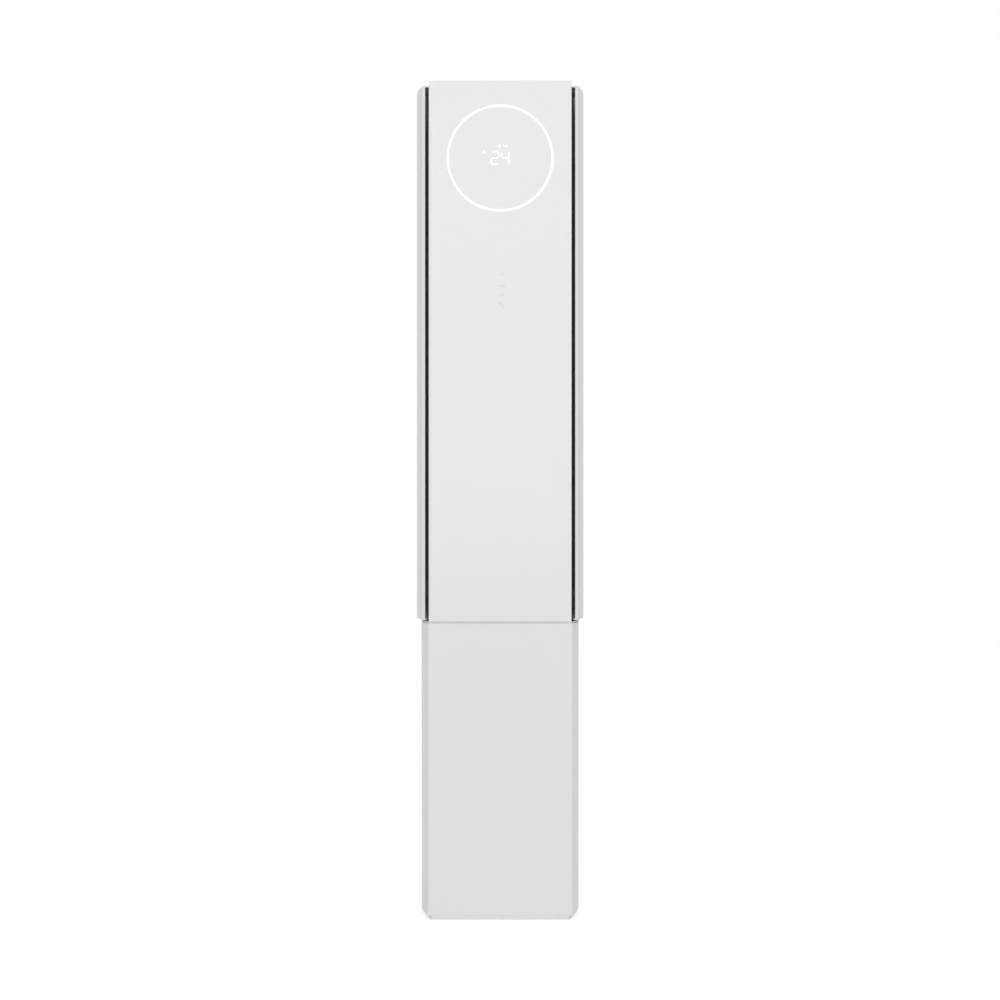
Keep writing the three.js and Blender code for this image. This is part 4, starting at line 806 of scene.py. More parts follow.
def rubber_black(name):
    """Matt rubber of the feet, gland and hose."""
    return moulded(name, (0.022, 0.022, 0.022), 0.82, tone=0.2, gloss=0.1, grain=520, depth=0.00006)


def light_guide(name):
    """Milky plastic lit from behind."""
    material, tree, shader = new_material(name)
    glow = noise(tree, place_of(tree), 9.0)
    level = ranged(tree, glow, 0.3, 0.7, 0.8, 1.0)
    tint = bpy.context.scene.tower_finish.light
    white = mixed(tree, level, (0.9, 0.9, 0.9, 1), (*tint, 1))
    tree.links.new(white, shader.inputs["Emission Color"])
    milk = mixed(tree, level, (0.32, 0.32, 0.32, 1), (0.38, 0.38, 0.38, 1))
    tree.links.new(milk, shader.inputs["Base Color"])
    shader.inputs["Emission Strength"].default_value = 0.62
    shader.inputs["Roughness"].default_value = 0.35
    return material


def touch_grey(name):
    """Faint printed grey of the touch marks."""
    tint = bpy.context.scene.tower_finish.mark
    return moulded(name, tint, 0.3, tone=0.05, gloss=0.05, grain=2500, depth=0.000002)


def line_group():
    """Drawn or brushed metal: fine streaks along one axis of the stretched point."""
    name = "Drawn streaks"
    if name in bpy.data.node_groups:
        return bpy.data.node_groups[name]
    group, given, out = new_group(
        name,
        {
            "Vector": ("NodeSocketVector", (0, 0, 0)),
            "Colour": ("NodeSocketColor", (0.5, 0.5, 0.5, 1)),
            "Dark colour": ("NodeSocketColor", (0.3, 0.3, 0.3, 1)),
            "Roughness": ("NodeSocketFloat", 0.3),
        },
        {"Colour": "NodeSocketColor", "Roughness": "NodeSocketFloat", "Height": "NodeSocketFloat"},
    )
    streak = noise(group, given.outputs["Vector"], 60.0, 5.0)
    tarnish = noise(group, place_of(group), 35.0, 3.0)
    share = ranged(group, calculated(group, "ADD", streak, tarnish), 0.75, 1.25, 0.0, 1.0)
    shade = mixed(group, share, given.outputs["Dark colour"], given.outputs["Colour"])
    group.links.new(shade, out.inputs["Colour"])
    rough = calculated(group, "ADD", given.outputs["Roughness"], ranged(group, tarnish, 0.3, 0.7, 0.12, 0.0))
    group.links.new(rough, out.inputs["Roughness"])
    group.links.new(streak, out.inputs["Height"])
    return group


def drawn_metal(name, tint, dark, roughness, stretch):
    """A metal with streaks along one axis."""
    material, tree, shader = new_material(name)
    lines = tree.nodes.new("ShaderNodeGroup")
    lines.node_tree = line_group()
    tree.links.new(place_of(tree, stretch), lines.inputs["Vector"])
    lines.inputs["Colour"].default_value = (*tint, 1)
    lines.inputs["Dark colour"].default_value = (*dark, 1)
    lines.inputs["Roughness"].default_value = roughness
    tree.links.new(lines.outputs["Colour"], shader.inputs["Base Color"])
    tree.links.new(lines.outputs["Roughness"], shader.inputs["Roughness"])
    shader.inputs["Metallic"].default_value = 1.0
    bumped(tree, shader, lines.outputs["Height"], 0.4, 0.00002)
    return material


def copper(name):
    """Drawn copper tube, a little tarnished."""
    return drawn_metal(name, (0.80, 0.38, 0.22), (0.48, 0.20, 0.11), 0.24, (9, 9, 1))


def brass(name):
    """Machined brass of the flare nuts."""
    return drawn_metal(name, (0.80, 0.58, 0.26), (0.55, 0.38, 0.15), 0.24, (1, 1, 12))


def fins(name):
    """Bright aluminium fins with a faint press pattern."""
    return drawn_metal(name, (0.78, 0.80, 0.82), (0.55, 0.57, 0.60), 0.28, (12, 1, 1))


def sheet_steel(name):
    """Zinc-plated sheet, with its flat crystals."""
    material, tree, shader = new_material(name)
    crystal = tree.nodes.new("ShaderNodeTexVoronoi")
    crystal.inputs["Scale"].default_value = 130
    tree.links.new(place_of(tree), crystal.inputs["Vector"])
    value = tree.nodes.new("ShaderNodeSeparateColor")
    tree.links.new(crystal.outputs["Color"], value.inputs["Color"])
    share = value.outputs["Red"]
    zinc = mixed(tree, share, (0.42, 0.44, 0.46, 1), (0.60, 0.62, 0.64, 1))
    tree.links.new(zinc, shader.inputs["Base Color"])
    tree.links.new(ranged(tree, share, 0.0, 1.0, 0.34, 0.5), shader.inputs["Roughness"])
    shader.inputs["Metallic"].default_value = 1.0
    bumped(tree, shader, share, 0.2, 0.00001)
    return material


def circuit_board(name):
    """Green solder mask over copper tracks."""
    material, tree, shader = new_material(name)
    tracks = tree.nodes.new("ShaderNodeTexBrick")
    tree.links.new(place_of(tree, (160, 160, 160)), tracks.inputs["Vector"])
    tracks.inputs["Color1"].default_value = (0.012, 0.085, 0.045, 1)
    tracks.inputs["Color2"].default_value = (0.016, 0.11, 0.055, 1)
    tracks.inputs["Mortar"].default_value = (0.03, 0.16, 0.08, 1)
    tree.links.new(tracks.outputs["Color"], shader.inputs["Base Color"])
    tree.links.new(ranged(tree, tracks.outputs["Fac"], 0.0, 1.0, 0.35, 0.22), shader.inputs["Roughness"])
    bumped(tree, shader, tracks.outputs["Fac"], 0.4, 0.00003)
    return material


def filter_mesh(name):
    """Fine woven net of the dust filter."""
    material, tree, shader = new_material(name)
    point = tree.nodes.new("ShaderNodeSeparateXYZ")
    tree.links.new(place_of(tree), point.inputs["Vector"])
    threads = []
    for axis in ("X", "Z"):
        phase = calculated(tree, "MULTIPLY", point.outputs[axis], 2 * math.pi / 0.0016)
        threads.append(calculated(tree, "ABSOLUTE", calculated(tree, "SINE", phase)))
    weave = calculated(tree, "MAXIMUM", *threads)
    share = ranged(tree, weave, 0.55, 0.95, 0.0, 1.0)
    dust = noise(tree, place_of(tree), 40.0, 4.0)
    thread = mixed(tree, dust, (0.035, 0.04, 0.045, 1), (0.08, 0.085, 0.09, 1))
    tree.links.new(mixed(tree, share, (0.006, 0.006, 0.007, 1), thread), shader.inputs["Base Color"])
    shader.inputs["Roughness"].default_value = 0.7
    bumped(tree, shader, weave, 0.6, 0.0002)
    return material


FINISHES = {
    "cabinet_white": cabinet_white,
    "panel_white": panel_white,
    "light_guide": light_guide,
    "vane_grey": vane_grey,
    "frame_grey": frame_grey,
    "inner_plastic": inner_plastic,
    "fan_plastic": fan_plastic,
    "sheet_steel": sheet_steel,
    "fins": fins,
    "copper": copper,
    "brass": brass,
    "circuit_board": circuit_board,
    "rubber_black": rubber_black,
    "filter_mesh": filter_mesh,
    "touch_grey": touch_grey,
}


def finish(slot):
    """The material of a finish, made the first time that it is asked for."""
    name = f"{slot}_finish"
    return bpy.data.materials.get(name) or FINISHES[slot](name)


# ---- Lower cabinet ---------------------------------------------------------------------------------

def front_cover(plan, sizes):
    """The lower cabinet's front and sides in one, its shelf at the top and the lip of the reveal."""
    low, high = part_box("lower_front_cover")
    under_shelf = high.z - sizes.shelf_thick
    corners = [
        (0, low.z), (0, high.z), (sizes.shelf, high.z), (sizes.shelf, under_shelf),
        (sizes.wall, under_shelf), (sizes.wall, low.z),
    ]
    cover = rail(rounded(corners, sizes.edge_round), plan.front_pen, plan.parting)
    inside = high.z - sizes.shelf_thick / 2
    top = high.z + sizes.lip_rise
    corners = [(sizes.lip_back, inside), (sizes.lip_back, top), (sizes.shelf, top), (sizes.shelf, inside)]
    lip = rail(corners, plan.front_pen, plan.parting)
    lip = combined(lip, "INTERSECT", blocks(((-FAR, -FAR, -FAR), (FAR, plan.widest_y - LIP_END, FAR))))
    make_piece("front_cover_moulding", combined(cover, "UNION", [lip]), "lower_front_cover", replaces=True)


def rear_cover(plan, sizes):
    """The lower cabinet's back, with its pipe, drain and cord openings and its screws."""
    low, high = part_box("lower_rear_cover")
    corners = [(0, low.z), (0, high.z), (sizes.wall, high.z), (sizes.wall, low.z)]
    cover = rail(rounded(corners, sizes.edge_round), plan.rear_pen, plan.rear_start)
    gland = middle_of("cord_gland")
    pipe_height, pipe_radius = PIPE_OPENING
    drain_height, drain_radius = DRAIN_OPENING
    tools = [
        bore((0, plan.back, pipe_height), pipe_radius, PAST, OPENING_STEPS),
        bore((middle_of("drain_hose").x, plan.back, drain_height), drain_radius, PAST, OPENING_STEPS),
        bore((gland.x, plan.back, gland.z), GLAND_OPENING, PAST, OPENING_STEPS),
    ]
    places = [(side * COVER_SCREW_SIDE, z) for side in SIDES.values() for z in COVER_SCREW_HEIGHTS]
    cover = combined(cover, "DIFFERENCE", tools + screw_pockets(places, plan.back))
    make_piece("rear_cover_moulding", cover, "lower_rear_cover", replaces=True)
    screws("rear_cover_screws", "lower_rear_cover", places, plan.back)


def screw_pockets(places, back):
    """Tools for the round pockets that take screw heads in a back face."""
    return [bore((x, back, z), SCREW_POCKET_RADIUS, SCREW_POCKET, SCREW_STEPS) for x, z in places]


def screws(name, node, places, back):
    """Pan-head screws with a cross recess, seated in their pockets."""
    dome = [(SCREW_RADIUS * share, height) for share, height in SCREW_DOME]
    arm, half = SCREW_RADIUS * SCREW_ARM, SCREW_ARM_HALF
    head = bmesh.new()
    turned(head, [(0, 0), (SCREW_RADIUS, 0), *dome], Matrix.Identity(4), SCREW_STEPS)
    head = combined(head, "DIFFERENCE", blocks(
        ((-arm, -half, SCREW_RIM), (arm, half, PAST)),
        ((-half, -arm, SCREW_RIM), (half, arm, PAST)),
    ))
    mould = bpy.data.meshes.new("screw head")
    head.to_mesh(mould)
    head.free()
    bm = bmesh.new()
    for x, z in places:
        before = set(bm.verts)
        bm.from_mesh(mould)
        turn = Matrix.Rotation(math.radians(SCREW_TURN * (x + z) % 90), 4, "Z")
        seat = facing_back(x, back - SCREW_POCKET, z)
        bmesh.ops.transform(bm, matrix=seat @ turn, verts=since(bm, before))
    bpy.data.meshes.remove(mould)
    make_piece(name, bm, node, slot="sheet_steel")


def plinth(plan, sizes):
    """The base plate's skirt and flange under the covers."""
    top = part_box("lower_front_cover")[0].z - SEAM
    skirt = floor_plate(plan, sizes.plinth_inset, sizes.plinth_low, top)
    narrow = 1 - sizes.plinth_side / sizes.front_half
    bmesh.ops.scale(skirt, vec=(narrow, 1, 1), verts=skirt.verts[:])
    flange_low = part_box("base_plate")[1].z - sizes.flange
    flange = floor_plate(plan, sizes.plinth_inset + SEAM * 4, flange_low, top - SEAM)
    make_piece("plinth_moulding", combined(flange, "UNION", [skirt]), "base_plate", replaces=True)


def floor_plate(plan, inset, low, high):
    """A plate of the cabinet's outline, moved in by inset, between two heights."""
    pen = plan.front_pen(bmesh.new(), inset, low)
    plan.rear_path(pen, inset)
    return mirrored_plate(pen, high - low)


def feet():
    """Four rubber feet with a grooved tread."""
    for node in ("foot_front_left", "foot_front_right", "foot_rear_left", "foot_rear_right"):
        low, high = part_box(node)
        middle = (low + high) / 2
        radius = (high.x - low.x) / 2
        tread = [(radius * share, height) for share, height in TREAD_GROOVE]
        stem = radius * TREAD_GROOVE[0][0]
        profile = [
            (0, 0), *tread, (radius - PAD_EDGE, 0), (radius, PAD_EDGE), (radius - PAD_SIDE[0], PAD_SIDE[1]),
            (radius - PAD_TOP[0], PAD_TOP[1]), (stem, PAD_TOP[1]), (stem, high.z), (0, high.z),
        ]
        bm = bmesh.new()
        turned(bm, profile, Matrix.Translation((middle.x, middle.y, 0)))
        make_piece(f"{node}_pad", bm, node, replaces=True)


# ---- Rear casing and top cover ---------------------------------------------------------------------

def casing(plan, sizes):
    """The upper half's shell, open at the front, with a framed window for each cassette."""
    low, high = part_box("rear_casing")
    narrow = narrow_half()
    wall = sizes.casing_wall
    corner_x = plan.half - plan.rear_corner
    pen = Pen(bmesh.new(), narrow, low.y, low.z)
    pen.line(narrow, plan.rear_start)
    pen.line(plan.half, plan.rear_start)
    plan.rear_path(pen, 0)
    pen.line(0, plan.back - wall)
    pen.line(corner_x, plan.back - wall)
    pen.arc(corner_x, plan.back - plan.rear_corner, -QUARTER, plan.rear_steps)
    pen.line(plan.half - wall, plan.rear_start + wall)
    pen.line(narrow - wall, plan.rear_start + wall)
    pen.line(narrow - wall, low.y)
    bm = raised(pen, high.z - low.z)
    mirrored(bm)
    lower, upper = (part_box(f"intake_cassette_{level}") for level in LEVELS)
    margin = CASSETTE_CLEAR + WINDOW_FRAME
    rim_low = (lower[0].x - margin, LEDGE_FRONT, lower[0].z - margin)
    rim_high = (upper[1].x + margin, plan.back - wall / 2, upper[1].z + margin)
    bm = combined(bm, "UNION", blocks((rim_low, rim_high)))
    clear = Vector((CASSETTE_CLEAR, 0, CASSETTE_CLEAR))
    ledge = clear - Vector((WINDOW_LEDGE, 0, WINDOW_LEDGE))
    seat = Vector((0, CASSETTE_SEAT, 0))
    through = Vector((0, PAST, 0))
    tools = []
    for window_low, window_high in (lower, upper):
        tools += blocks(
            (window_low - clear - seat, window_high + clear + through),
            (window_low - ledge - through, window_high + ledge),
        )
    heights = (low.z + CASING_SCREW_EDGE, high.z - CASING_SCREW_EDGE)
    places = [(x, z) for x in (-CASING_SCREW_SIDE, 0.0, CASING_SCREW_SIDE) for z in heights]
    bm = combined(bm, "DIFFERENCE", tools + screw_pockets(places, plan.back))
    make_piece("casing_moulding", bm, "rear_casing", replaces=True, bevel=sizes.edge_round * 2)
    screws("casing_screws", "rear_casing", places, plan.back)


def packed_verts(node):
    """The places of a packed part's vertices."""
    return [vert.co for vert in frame["nodes"][node].data.vertices]


def narrow_half():
    """Half the casing's width where a wing slides over it."""
    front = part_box("rear_casing")[0].y
    return max(co.x for co in packed_verts("rear_casing") if abs(co.y - front) < MERGE)


def roof(plan, sizes):
    """The top cover: narrow in front, where the wings' caps slide over, and full width behind."""
    low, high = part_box("top_cover")
    slim = max(co.x for co in packed_verts("top_cover") if abs(co.y - low.y) < MERGE)
    narrow = narrow_half()
    step = roof_step(narrow)
    pen = Pen(bmesh.new(), 0, low.y, low.z)
    pen.line(slim, low.y)
    pen.line(slim, step)
    pen.line(narrow, step)
    pen.line(narrow, plan.rear_start)
    pen.line(plan.half, plan.rear_start)
    plan.rear_path(pen, 0)
    bm = mirrored_plate(pen, high.z - low.z)
    make_piece("top_cover_moulding", bm, "top_cover", replaces=True, bevel=sizes.edge_round * 4)


def roof_step(narrow):
    """Depth at which the top cover gets wider."""
    return min(co.y for co in packed_verts("top_cover") if abs(co.x - narrow) < MERGE)


# ---- Front panel, light ring and display -----------------------------------------------------------

def front_panel(sizes):
    """The flat panel: rounded front edges, a pocket in its back and the ring's groove in its face."""
    low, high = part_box("front_panel")
    middle_z = (low.z + high.z) / 2
    bm = bmesh.new()
    verts = block(bm, low, high)
    pocket = [face for face in bm.faces if face.normal.y > 0.5]
    bmesh.ops.inset_region(bm, faces=pocket, thickness=sizes.rim)
    for vert in pocket[0].verts:
        if vert.co.z > middle_z:
            vert.co.z = high.z - sizes.top_rim
    extruded(bm, pocket, (0, low.y + sizes.skin - high.y, 0))
    bmesh.ops.delete(bm, geom=pocket, context="FACES_ONLY")
    soften(bm, at_depth(edges_of(bm, verts), low.y), sizes.edge_round, 5)
    ring_low, ring_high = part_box("light_ring")
    inner, outer = ring_radii()
    inner -= sizes.groove_clear
    outer += sizes.groove_clear
    depth = ring_high.y - ring_low.y + sizes.groove_clear
    profile = [(inner, -depth), (outer, -depth), (outer, PAST), (inner, PAST)]
    groove = bmesh.new()
    turned(groove, profile, facing_front(0, low.y, middle_of("light_ring").z), RING_STEPS)
    make_piece("front_panel_moulding", combined(bm, "DIFFERENCE", [groove]), "front_panel", replaces=True)


def ring_radii():
    """Inner and outer radius of the light ring."""
    low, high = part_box("light_ring")
    middle_z = (low.z + high.z) / 2
    inner = min(math.hypot(co.x, co.z - middle_z) for co in packed_verts("light_ring"))
    return inner, (high.x - low.x) / 2


def light_ring():
    """The ring of light in its groove, with rounded edges."""
    low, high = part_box("light_ring")
    inner, outer = ring_radii()
    depth = high.y - low.y
    corners = [(inner, -depth), (outer, -depth), (outer, 0), (inner, 0)]
    bm = bmesh.new()
    turned(bm, rounded(corners, RING_EDGE), facing_front(0, low.y, (low.z + high.z) / 2), RING_STEPS)
    make_piece("light_ring_guide", bm, "light_ring", replaces=True)


def stroke(bm, start, end, width, face_y, sizes, tip=0.0):
    """A flat bar between two places on the panel, with its corners cut by tip, proud of the face."""
    first, last = Vector(start), Vector(end)
    run = last - first
    half = run.length / 2
    before = set(bm.verts)
    made = block(bm, (-half, -sizes.proud, -width / 2), (half, sizes.sunk, width / 2))
    if tip:
        edges = edges_of(bm, made)
        across = [edge for edge in edges if abs(edge.verts[0].co.y - edge.verts[1].co.y) > sizes.sunk]
        soften(bm, across, tip, 1)
    middle = (first + last) / 2
    turn = Matrix.Rotation(-math.atan2(run.y, run.x), 4, "Y")
    matrix = Matrix.Translation((middle.x, face_y, middle.y)) @ turn
    bmesh.ops.transform(bm, matrix=matrix, verts=since(bm, before))


def strokes(bm, rows, origin_z, face_y, sizes):
    """A flat bar for each row of start, end, width and tip, with its heights taken from an origin."""
    up = Vector((0, origin_z))
    for start, end, width, tip in rows:
        stroke(bm, Vector(start) + up, Vector(end) + up, width, face_y, sizes, tip)


SEGMENTS = {
    "a": ((-1, 1), (1, 1)), "b": ((1, 1), (1, 0)), "c": ((1, 0), (1, -1)), "d": ((-1, -1), (1, -1)),
    "e": ((-1, 0), (-1, -1)), "f": ((-1, 1), (-1, 0)), "g": ((-1, 0), (1, 0)),
}
LIT = {
    "0": "abcdef", "1": "bc", "2": "abdeg", "3": "abcdg", "4": "bcfg", "5": "acdfg", "6": "acdefg",
    "7": "abc", "8": "abcdefg", "9": "abcdfg",
}


def digits(sizes):
    """The two-digit number in the middle of the ring."""
    face_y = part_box("light_ring")[0].y
    middle_z = middle_of("light_ring").z
    bm = bmesh.new()
    for place, digit in zip((-0.5, 0.5), f"{sizes.number:02d}"):
        centre = Vector((place * sizes.digit_spacing, middle_z))
        for segment in LIT[digit]:
            start, end = (
                centre + Vector((across * sizes.digit_width / 2, up * sizes.digit_height / 2))
                for across, up in SEGMENTS[segment]
            )
            gap = (end - start).normalized() * sizes.segment_gap
            stroke(bm, start + gap, end - gap, sizes.stroke, face_y, sizes, sizes.stroke * DIGIT_TIP)
    make_piece("display_digits", bm, "front_panel", slot="light_guide")


def symbols(sizes):
    """Three small lit symbols over the number: a drop, a wedge and a pair of strokes."""
    face_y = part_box("light_ring")[0].y
    middle_z = middle_of("light_ring").z
    up = Vector((0, middle_z))
    bm = bmesh.new()
    drop(bm, Vector(DROP_PLACE) + up, DROP_RADIUS, face_y, sizes)
    wedge(bm, Vector(WEDGE_PLACE) + up, WEDGE_WIDTH, WEDGE_HEIGHT, face_y, sizes)
    strokes(bm, FLAG_STROKES, middle_z, face_y, sizes)
    make_piece("display_symbols", bm, "front_panel", slot="light_guide")


def plate_of(bm, outline, face_y, sizes):
    """A thin plate of an outline on the panel, a little proud of the face."""
    verts = [bm.verts.new((x, face_y + sizes.sunk, z)) for x, z in outline]
    extruded(bm, [bm.faces.new(verts)], (0, -sizes.sunk - sizes.proud, 0))


def drop(bm, centre, radius, face_y, sizes):
    """A drop of water: a circle drawn up to a point."""
    outline = []
    for step in range(DROP_STEPS):
        angle = 2 * math.pi * step / DROP_STEPS
        rise = max(math.sin(angle), 0)
        x = radius * math.cos(angle) * (1 - DROP_NARROWS * rise)
        z = radius * math.sin(angle) * (1 + DROP_RISES * rise**2)
        outline.append((centre.x + x, centre.y + z))
    plate_of(bm, outline, face_y, sizes)


def wedge(bm, centre, width, height, face_y, sizes):
    """A fan-shaped wedge: a point at the bottom and a curved top."""
    outline = [(centre.x, centre.y - height / 2)]
    for step in range(WEDGE_STEPS + 1):
        share = step / WEDGE_STEPS - 0.5
        arch = (0.25 - share**2) * WEDGE_ARCH
        outline.append((centre.x + share * width, centre.y + height * (WEDGE_SHOULDER + arch)))
    plate_of(bm, outline, face_y, sizes)


def touch_marks(sizes):
    """Four faint printed marks in a column over the touch board."""
    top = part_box("touch_board")[1].z
    face_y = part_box("front_panel")[0].y
    bm = bmesh.new()
    strokes(bm, MARK_STROKES, top, face_y, sizes)
    make_piece("touch_key_marks", bm, "front_panel", slot="panel_white", material=finish("touch_grey"))


# ---- Wings and vanes -------------------------------------------------------------------------------

class WingSection:
    """The right wing's section, drawn at any height."""

    tip_steps = 4
    nose_steps = 8
    side_steps = 24
    inner_steps = 6
    bow_pull = 1.6          # the nose curve's middle point lies this many bows back
    past_tip = 1.01         # the inner side ends just behind the tip's rounding

    def __init__(self):
        self.plan = Plan()
        self.sizes = bpy.context.scene.tower_wing
        self.low, self.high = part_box("wing_right")
        self.nose_back = self.low.y + self.sizes.nose
        self.roof_step = roof_step(narrow_half())
        verts = packed_verts("wing_right")
        self.inner = min(co.x for co in verts if abs(co.y - self.low.y) < MERGE) - PACKED_TIP
        self.rear_inner = min(co.x for co in verts if abs(co.y - self.high.y) < MERGE)
        self.cap_inner = min(co.x for co in verts if abs(co.z - self.high.z) < MERGE)
        self.sill_inner = min(co.x for co in verts if abs(co.z - self.low.z) < MERGE)

    def ring(self, bm, z, edge=None, inset=0.0):
        """The closed section at a height, moved in by inset. At an end it is filled inwards to an edge."""
        plan, sizes = self.plan, self.sizes
        proud = inset - sizes.proud
        front = self.low.y + inset
        tip = sizes.tip_round
        pen = Pen(bm, self.inner, front + tip, z)
        pen.arc(self.inner + tip, front + tip, QUARTER, self.tip_steps)
        outer = plan.side_x(front, proud)
        start = (outer - sizes.nose / 2, front + sizes.nose_bow)
        end = (plan.side_x(self.nose_back, proud), self.nose_back)
        pen.line(*start)
        pen.curve(start, (outer, front + sizes.nose_bow * self.bow_pull), end, self.nose_steps)
        turn = math.asin((self.nose_back - plan.widest_y) / (plan.radius - proud))
        pen.arc(plan.middle_x, plan.widest_y, -turn, self.side_steps)
        pen.line(plan.half - proud, self.high.y)
        for place in self.inner_side(edge):
            pen.line(*place)
        pen.close()
        return pen.drawn()

    def inner_side(self, edge):
        """Places along the inner side, from the rear to the front."""
        lip_y = self.high.y - self.sizes.wall
        run = self.nose_back - self.roof_step
        behind = [lip_y, self.plan.widest_y, self.roof_step]
        ahead = [self.roof_step + run * part / self.inner_steps for part in range(self.inner_steps + 1)]
        yield self.rear_inner, self.high.y
        yield self.rear_inner, lip_y
        for y in behind:
            yield (self.skin_x(y) if edge is None else self.rear_inner), y
        for y in ahead:
            yield (self.skin_x(y) if edge is None else edge), y
        yield (self.inner if edge is None else edge), self.low.y + self.sizes.tip_round * self.past_tip

    def skin_x(self, y):
        """The inner face of the skin at a depth."""
        return self.plan.side_x(y, self.sizes.wall - self.sizes.proud)


def wing(section, side):
    """A curved wing: a skin with a rounded nose, an end cap, a sill and a rolled rear edge."""
    sizes = section.sizes
    bottom, top = section.low.z, section.high.z
    angles = [QUARTER * part / 3 for part in range(4)]
    rounding = [(sizes.edge_round * (1 - math.sin(a)), sizes.edge_round * (1 - math.cos(a))) for a in angles]
    bm = bmesh.new()
    rings = [section.ring(bm, bottom + rise, section.sill_inner, inset) for inset, rise in rounding]
    rings += [
        section.ring(bm, bottom + sizes.cap, section.sill_inner),
        section.ring(bm, bottom + sizes.cap),
        section.ring(bm, top - sizes.cap),
        section.ring(bm, top - sizes.cap, section.cap_inner),
    ]
    rings += [section.ring(bm, top - rise, section.cap_inner, inset) for inset, rise in reversed(rounding)]
    loft(bm, rings)
    cap(bm, rings[0])
    cap(bm, rings[-1])
    if side == "left":
        bmesh.ops.scale(bm, vec=(-1, 1, 1), verts=bm.verts[:])
    make_piece(f"wing_{side}_moulding", bm, f"wing_{side}", replaces=True)


def vane(side):
    """An air vane: a blade with a round front edge and a thin tail, on two pins."""
    node = f"vane_{side}"
    low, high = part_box(node)
    joint = next(joint for joint in frame["joints"] if joint["child"] == f"{side}_vane")
    pivot = Matrix.Translation((*joint["pos_m"][:2], 0))
    blade_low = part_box("mid_deck")[1].z + VANE_END_GAP
    blade_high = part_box("front_frame")[1].z - VANE_TOP_DROP
    nose = VANE_THICK / 2
    waist = nose * VANE_WAIST
    tail = VANE_TAIL / 2
    pen = Pen(bmesh.new(), -nose, -VANE_FRONT + nose, blade_low)
    pen.arc(0, -VANE_FRONT + nose, math.pi, VANE_NOSE_STEPS)
    pen.line(nose, 0)
    pen.line(waist, VANE_REAR / 2)
    pen.line(tail, VANE_REAR)
    pen.line(-tail, VANE_REAR)
    pen.line(-waist, VANE_REAR / 2)
    pen.line(-nose, 0)
    bm = raised(pen, blade_high - blade_low)
    pins = []
    for start, end in ((low.z, blade_low + VANE_PIN_ROOT), (blade_high - VANE_PIN_ROOT, high.z)):
        pin = bmesh.new()
        profile = [(0, start), (VANE_PIN, start), (VANE_PIN, end), (0, end)]
        turned(pin, profile, Matrix.Identity(4), VANE_PIN_STEPS)
        pins.append(pin)
    bm = combined(bm, "UNION", pins)
    turn = Matrix.Rotation(math.radians(SIDES[side] * VANE_REST), 4, "Z")
    bmesh.ops.transform(bm, matrix=pivot @ turn, verts=bm.verts[:])
    make_piece(f"{node}_blade", bm, node, replaces=True, bevel=VANE_EDGE)


# ---- Intake cassettes and filters ------------------------------------------------------------------

def cassette(sizes, level):
    """An intake grille: a frame with a middle bar and a finger recess, and its slats."""
    node = f"intake_cassette_{level}"
    low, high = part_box(node)
    half = high.x - sizes.rim
    mullion = sizes.mullion / 2
    finger_half = sizes.finger_width / 2
    finger_top = high.z - sizes.rim / 2
    finger_low = finger_top - sizes.finger_height
    top = finger_low - sizes.rim
    bottom = low.z + sizes.rim
    front, back = low.y - PAST, high.y + PAST
    openings = blocks(
        ((-half, front, bottom), (-mullion, back, top)),
        ((mullion, front, bottom), (half, back, top)),
        ((-finger_half, high.y - sizes.finger_depth, finger_low), (finger_half, back, finger_top)),
    )
    bm = bmesh.new()
    block(bm, low, high)
    bm = combined(bm, "DIFFERENCE", openings)
    make_piece(f"{node}_frame", bm, node, replaces=True, bevel=CASSETTE_EDGE)
    slats(sizes, node, mullion, half, bottom, top)


def slats(sizes, node, start, end, bottom, top):
    """A cassette's slats: a column on the right of the middle bar, and its mirror image."""
    bm = bmesh.new()
    first = slat(bm, sizes, middle_of(node).y, start, end)
    count = int((top - bottom) / sizes.slat_pitch)
    lowest = bottom + ((top - bottom) - (count - 1) * sizes.slat_pitch) / 2
    bmesh.ops.translate(bm, vec=(0, 0, lowest), verts=first)
    geometry = bm.verts[:] + bm.edges[:] + bm.faces[:]
    for row in range(1, count):
        before = set(bm.verts)
        bmesh.ops.duplicate(bm, geom=geometry)
        bmesh.ops.translate(bm, vec=(0, 0, row * sizes.slat_pitch), verts=since(bm, before))
    mirrored(bm)
    make_piece(f"{node}_slats", bm, node)


def slat(bm, sizes, middle_y, start, end):
    """One tilted slat on the right, with rounded edges, at height zero. Gives its vertices."""
    chord, thick = sizes.slat_chord / 2, sizes.slat_thick / 2
    block(bm, (start - SLAT_ROOT, -chord, -thick), (end + SLAT_ROOT, chord, thick))
    long_edges = [edge for edge in bm.edges if abs(edge.verts[0].co.x - edge.verts[1].co.x) > chord]
    soften(bm, long_edges, thick * SLAT_ROUND, 2)
    matrix = Matrix.Translation((0, middle_y, 0)) @ Matrix.Rotation(-sizes.slat_tilt, 4, "X")
    bmesh.ops.transform(bm, matrix=matrix, verts=bm.verts[:])
    return bm.verts[:]


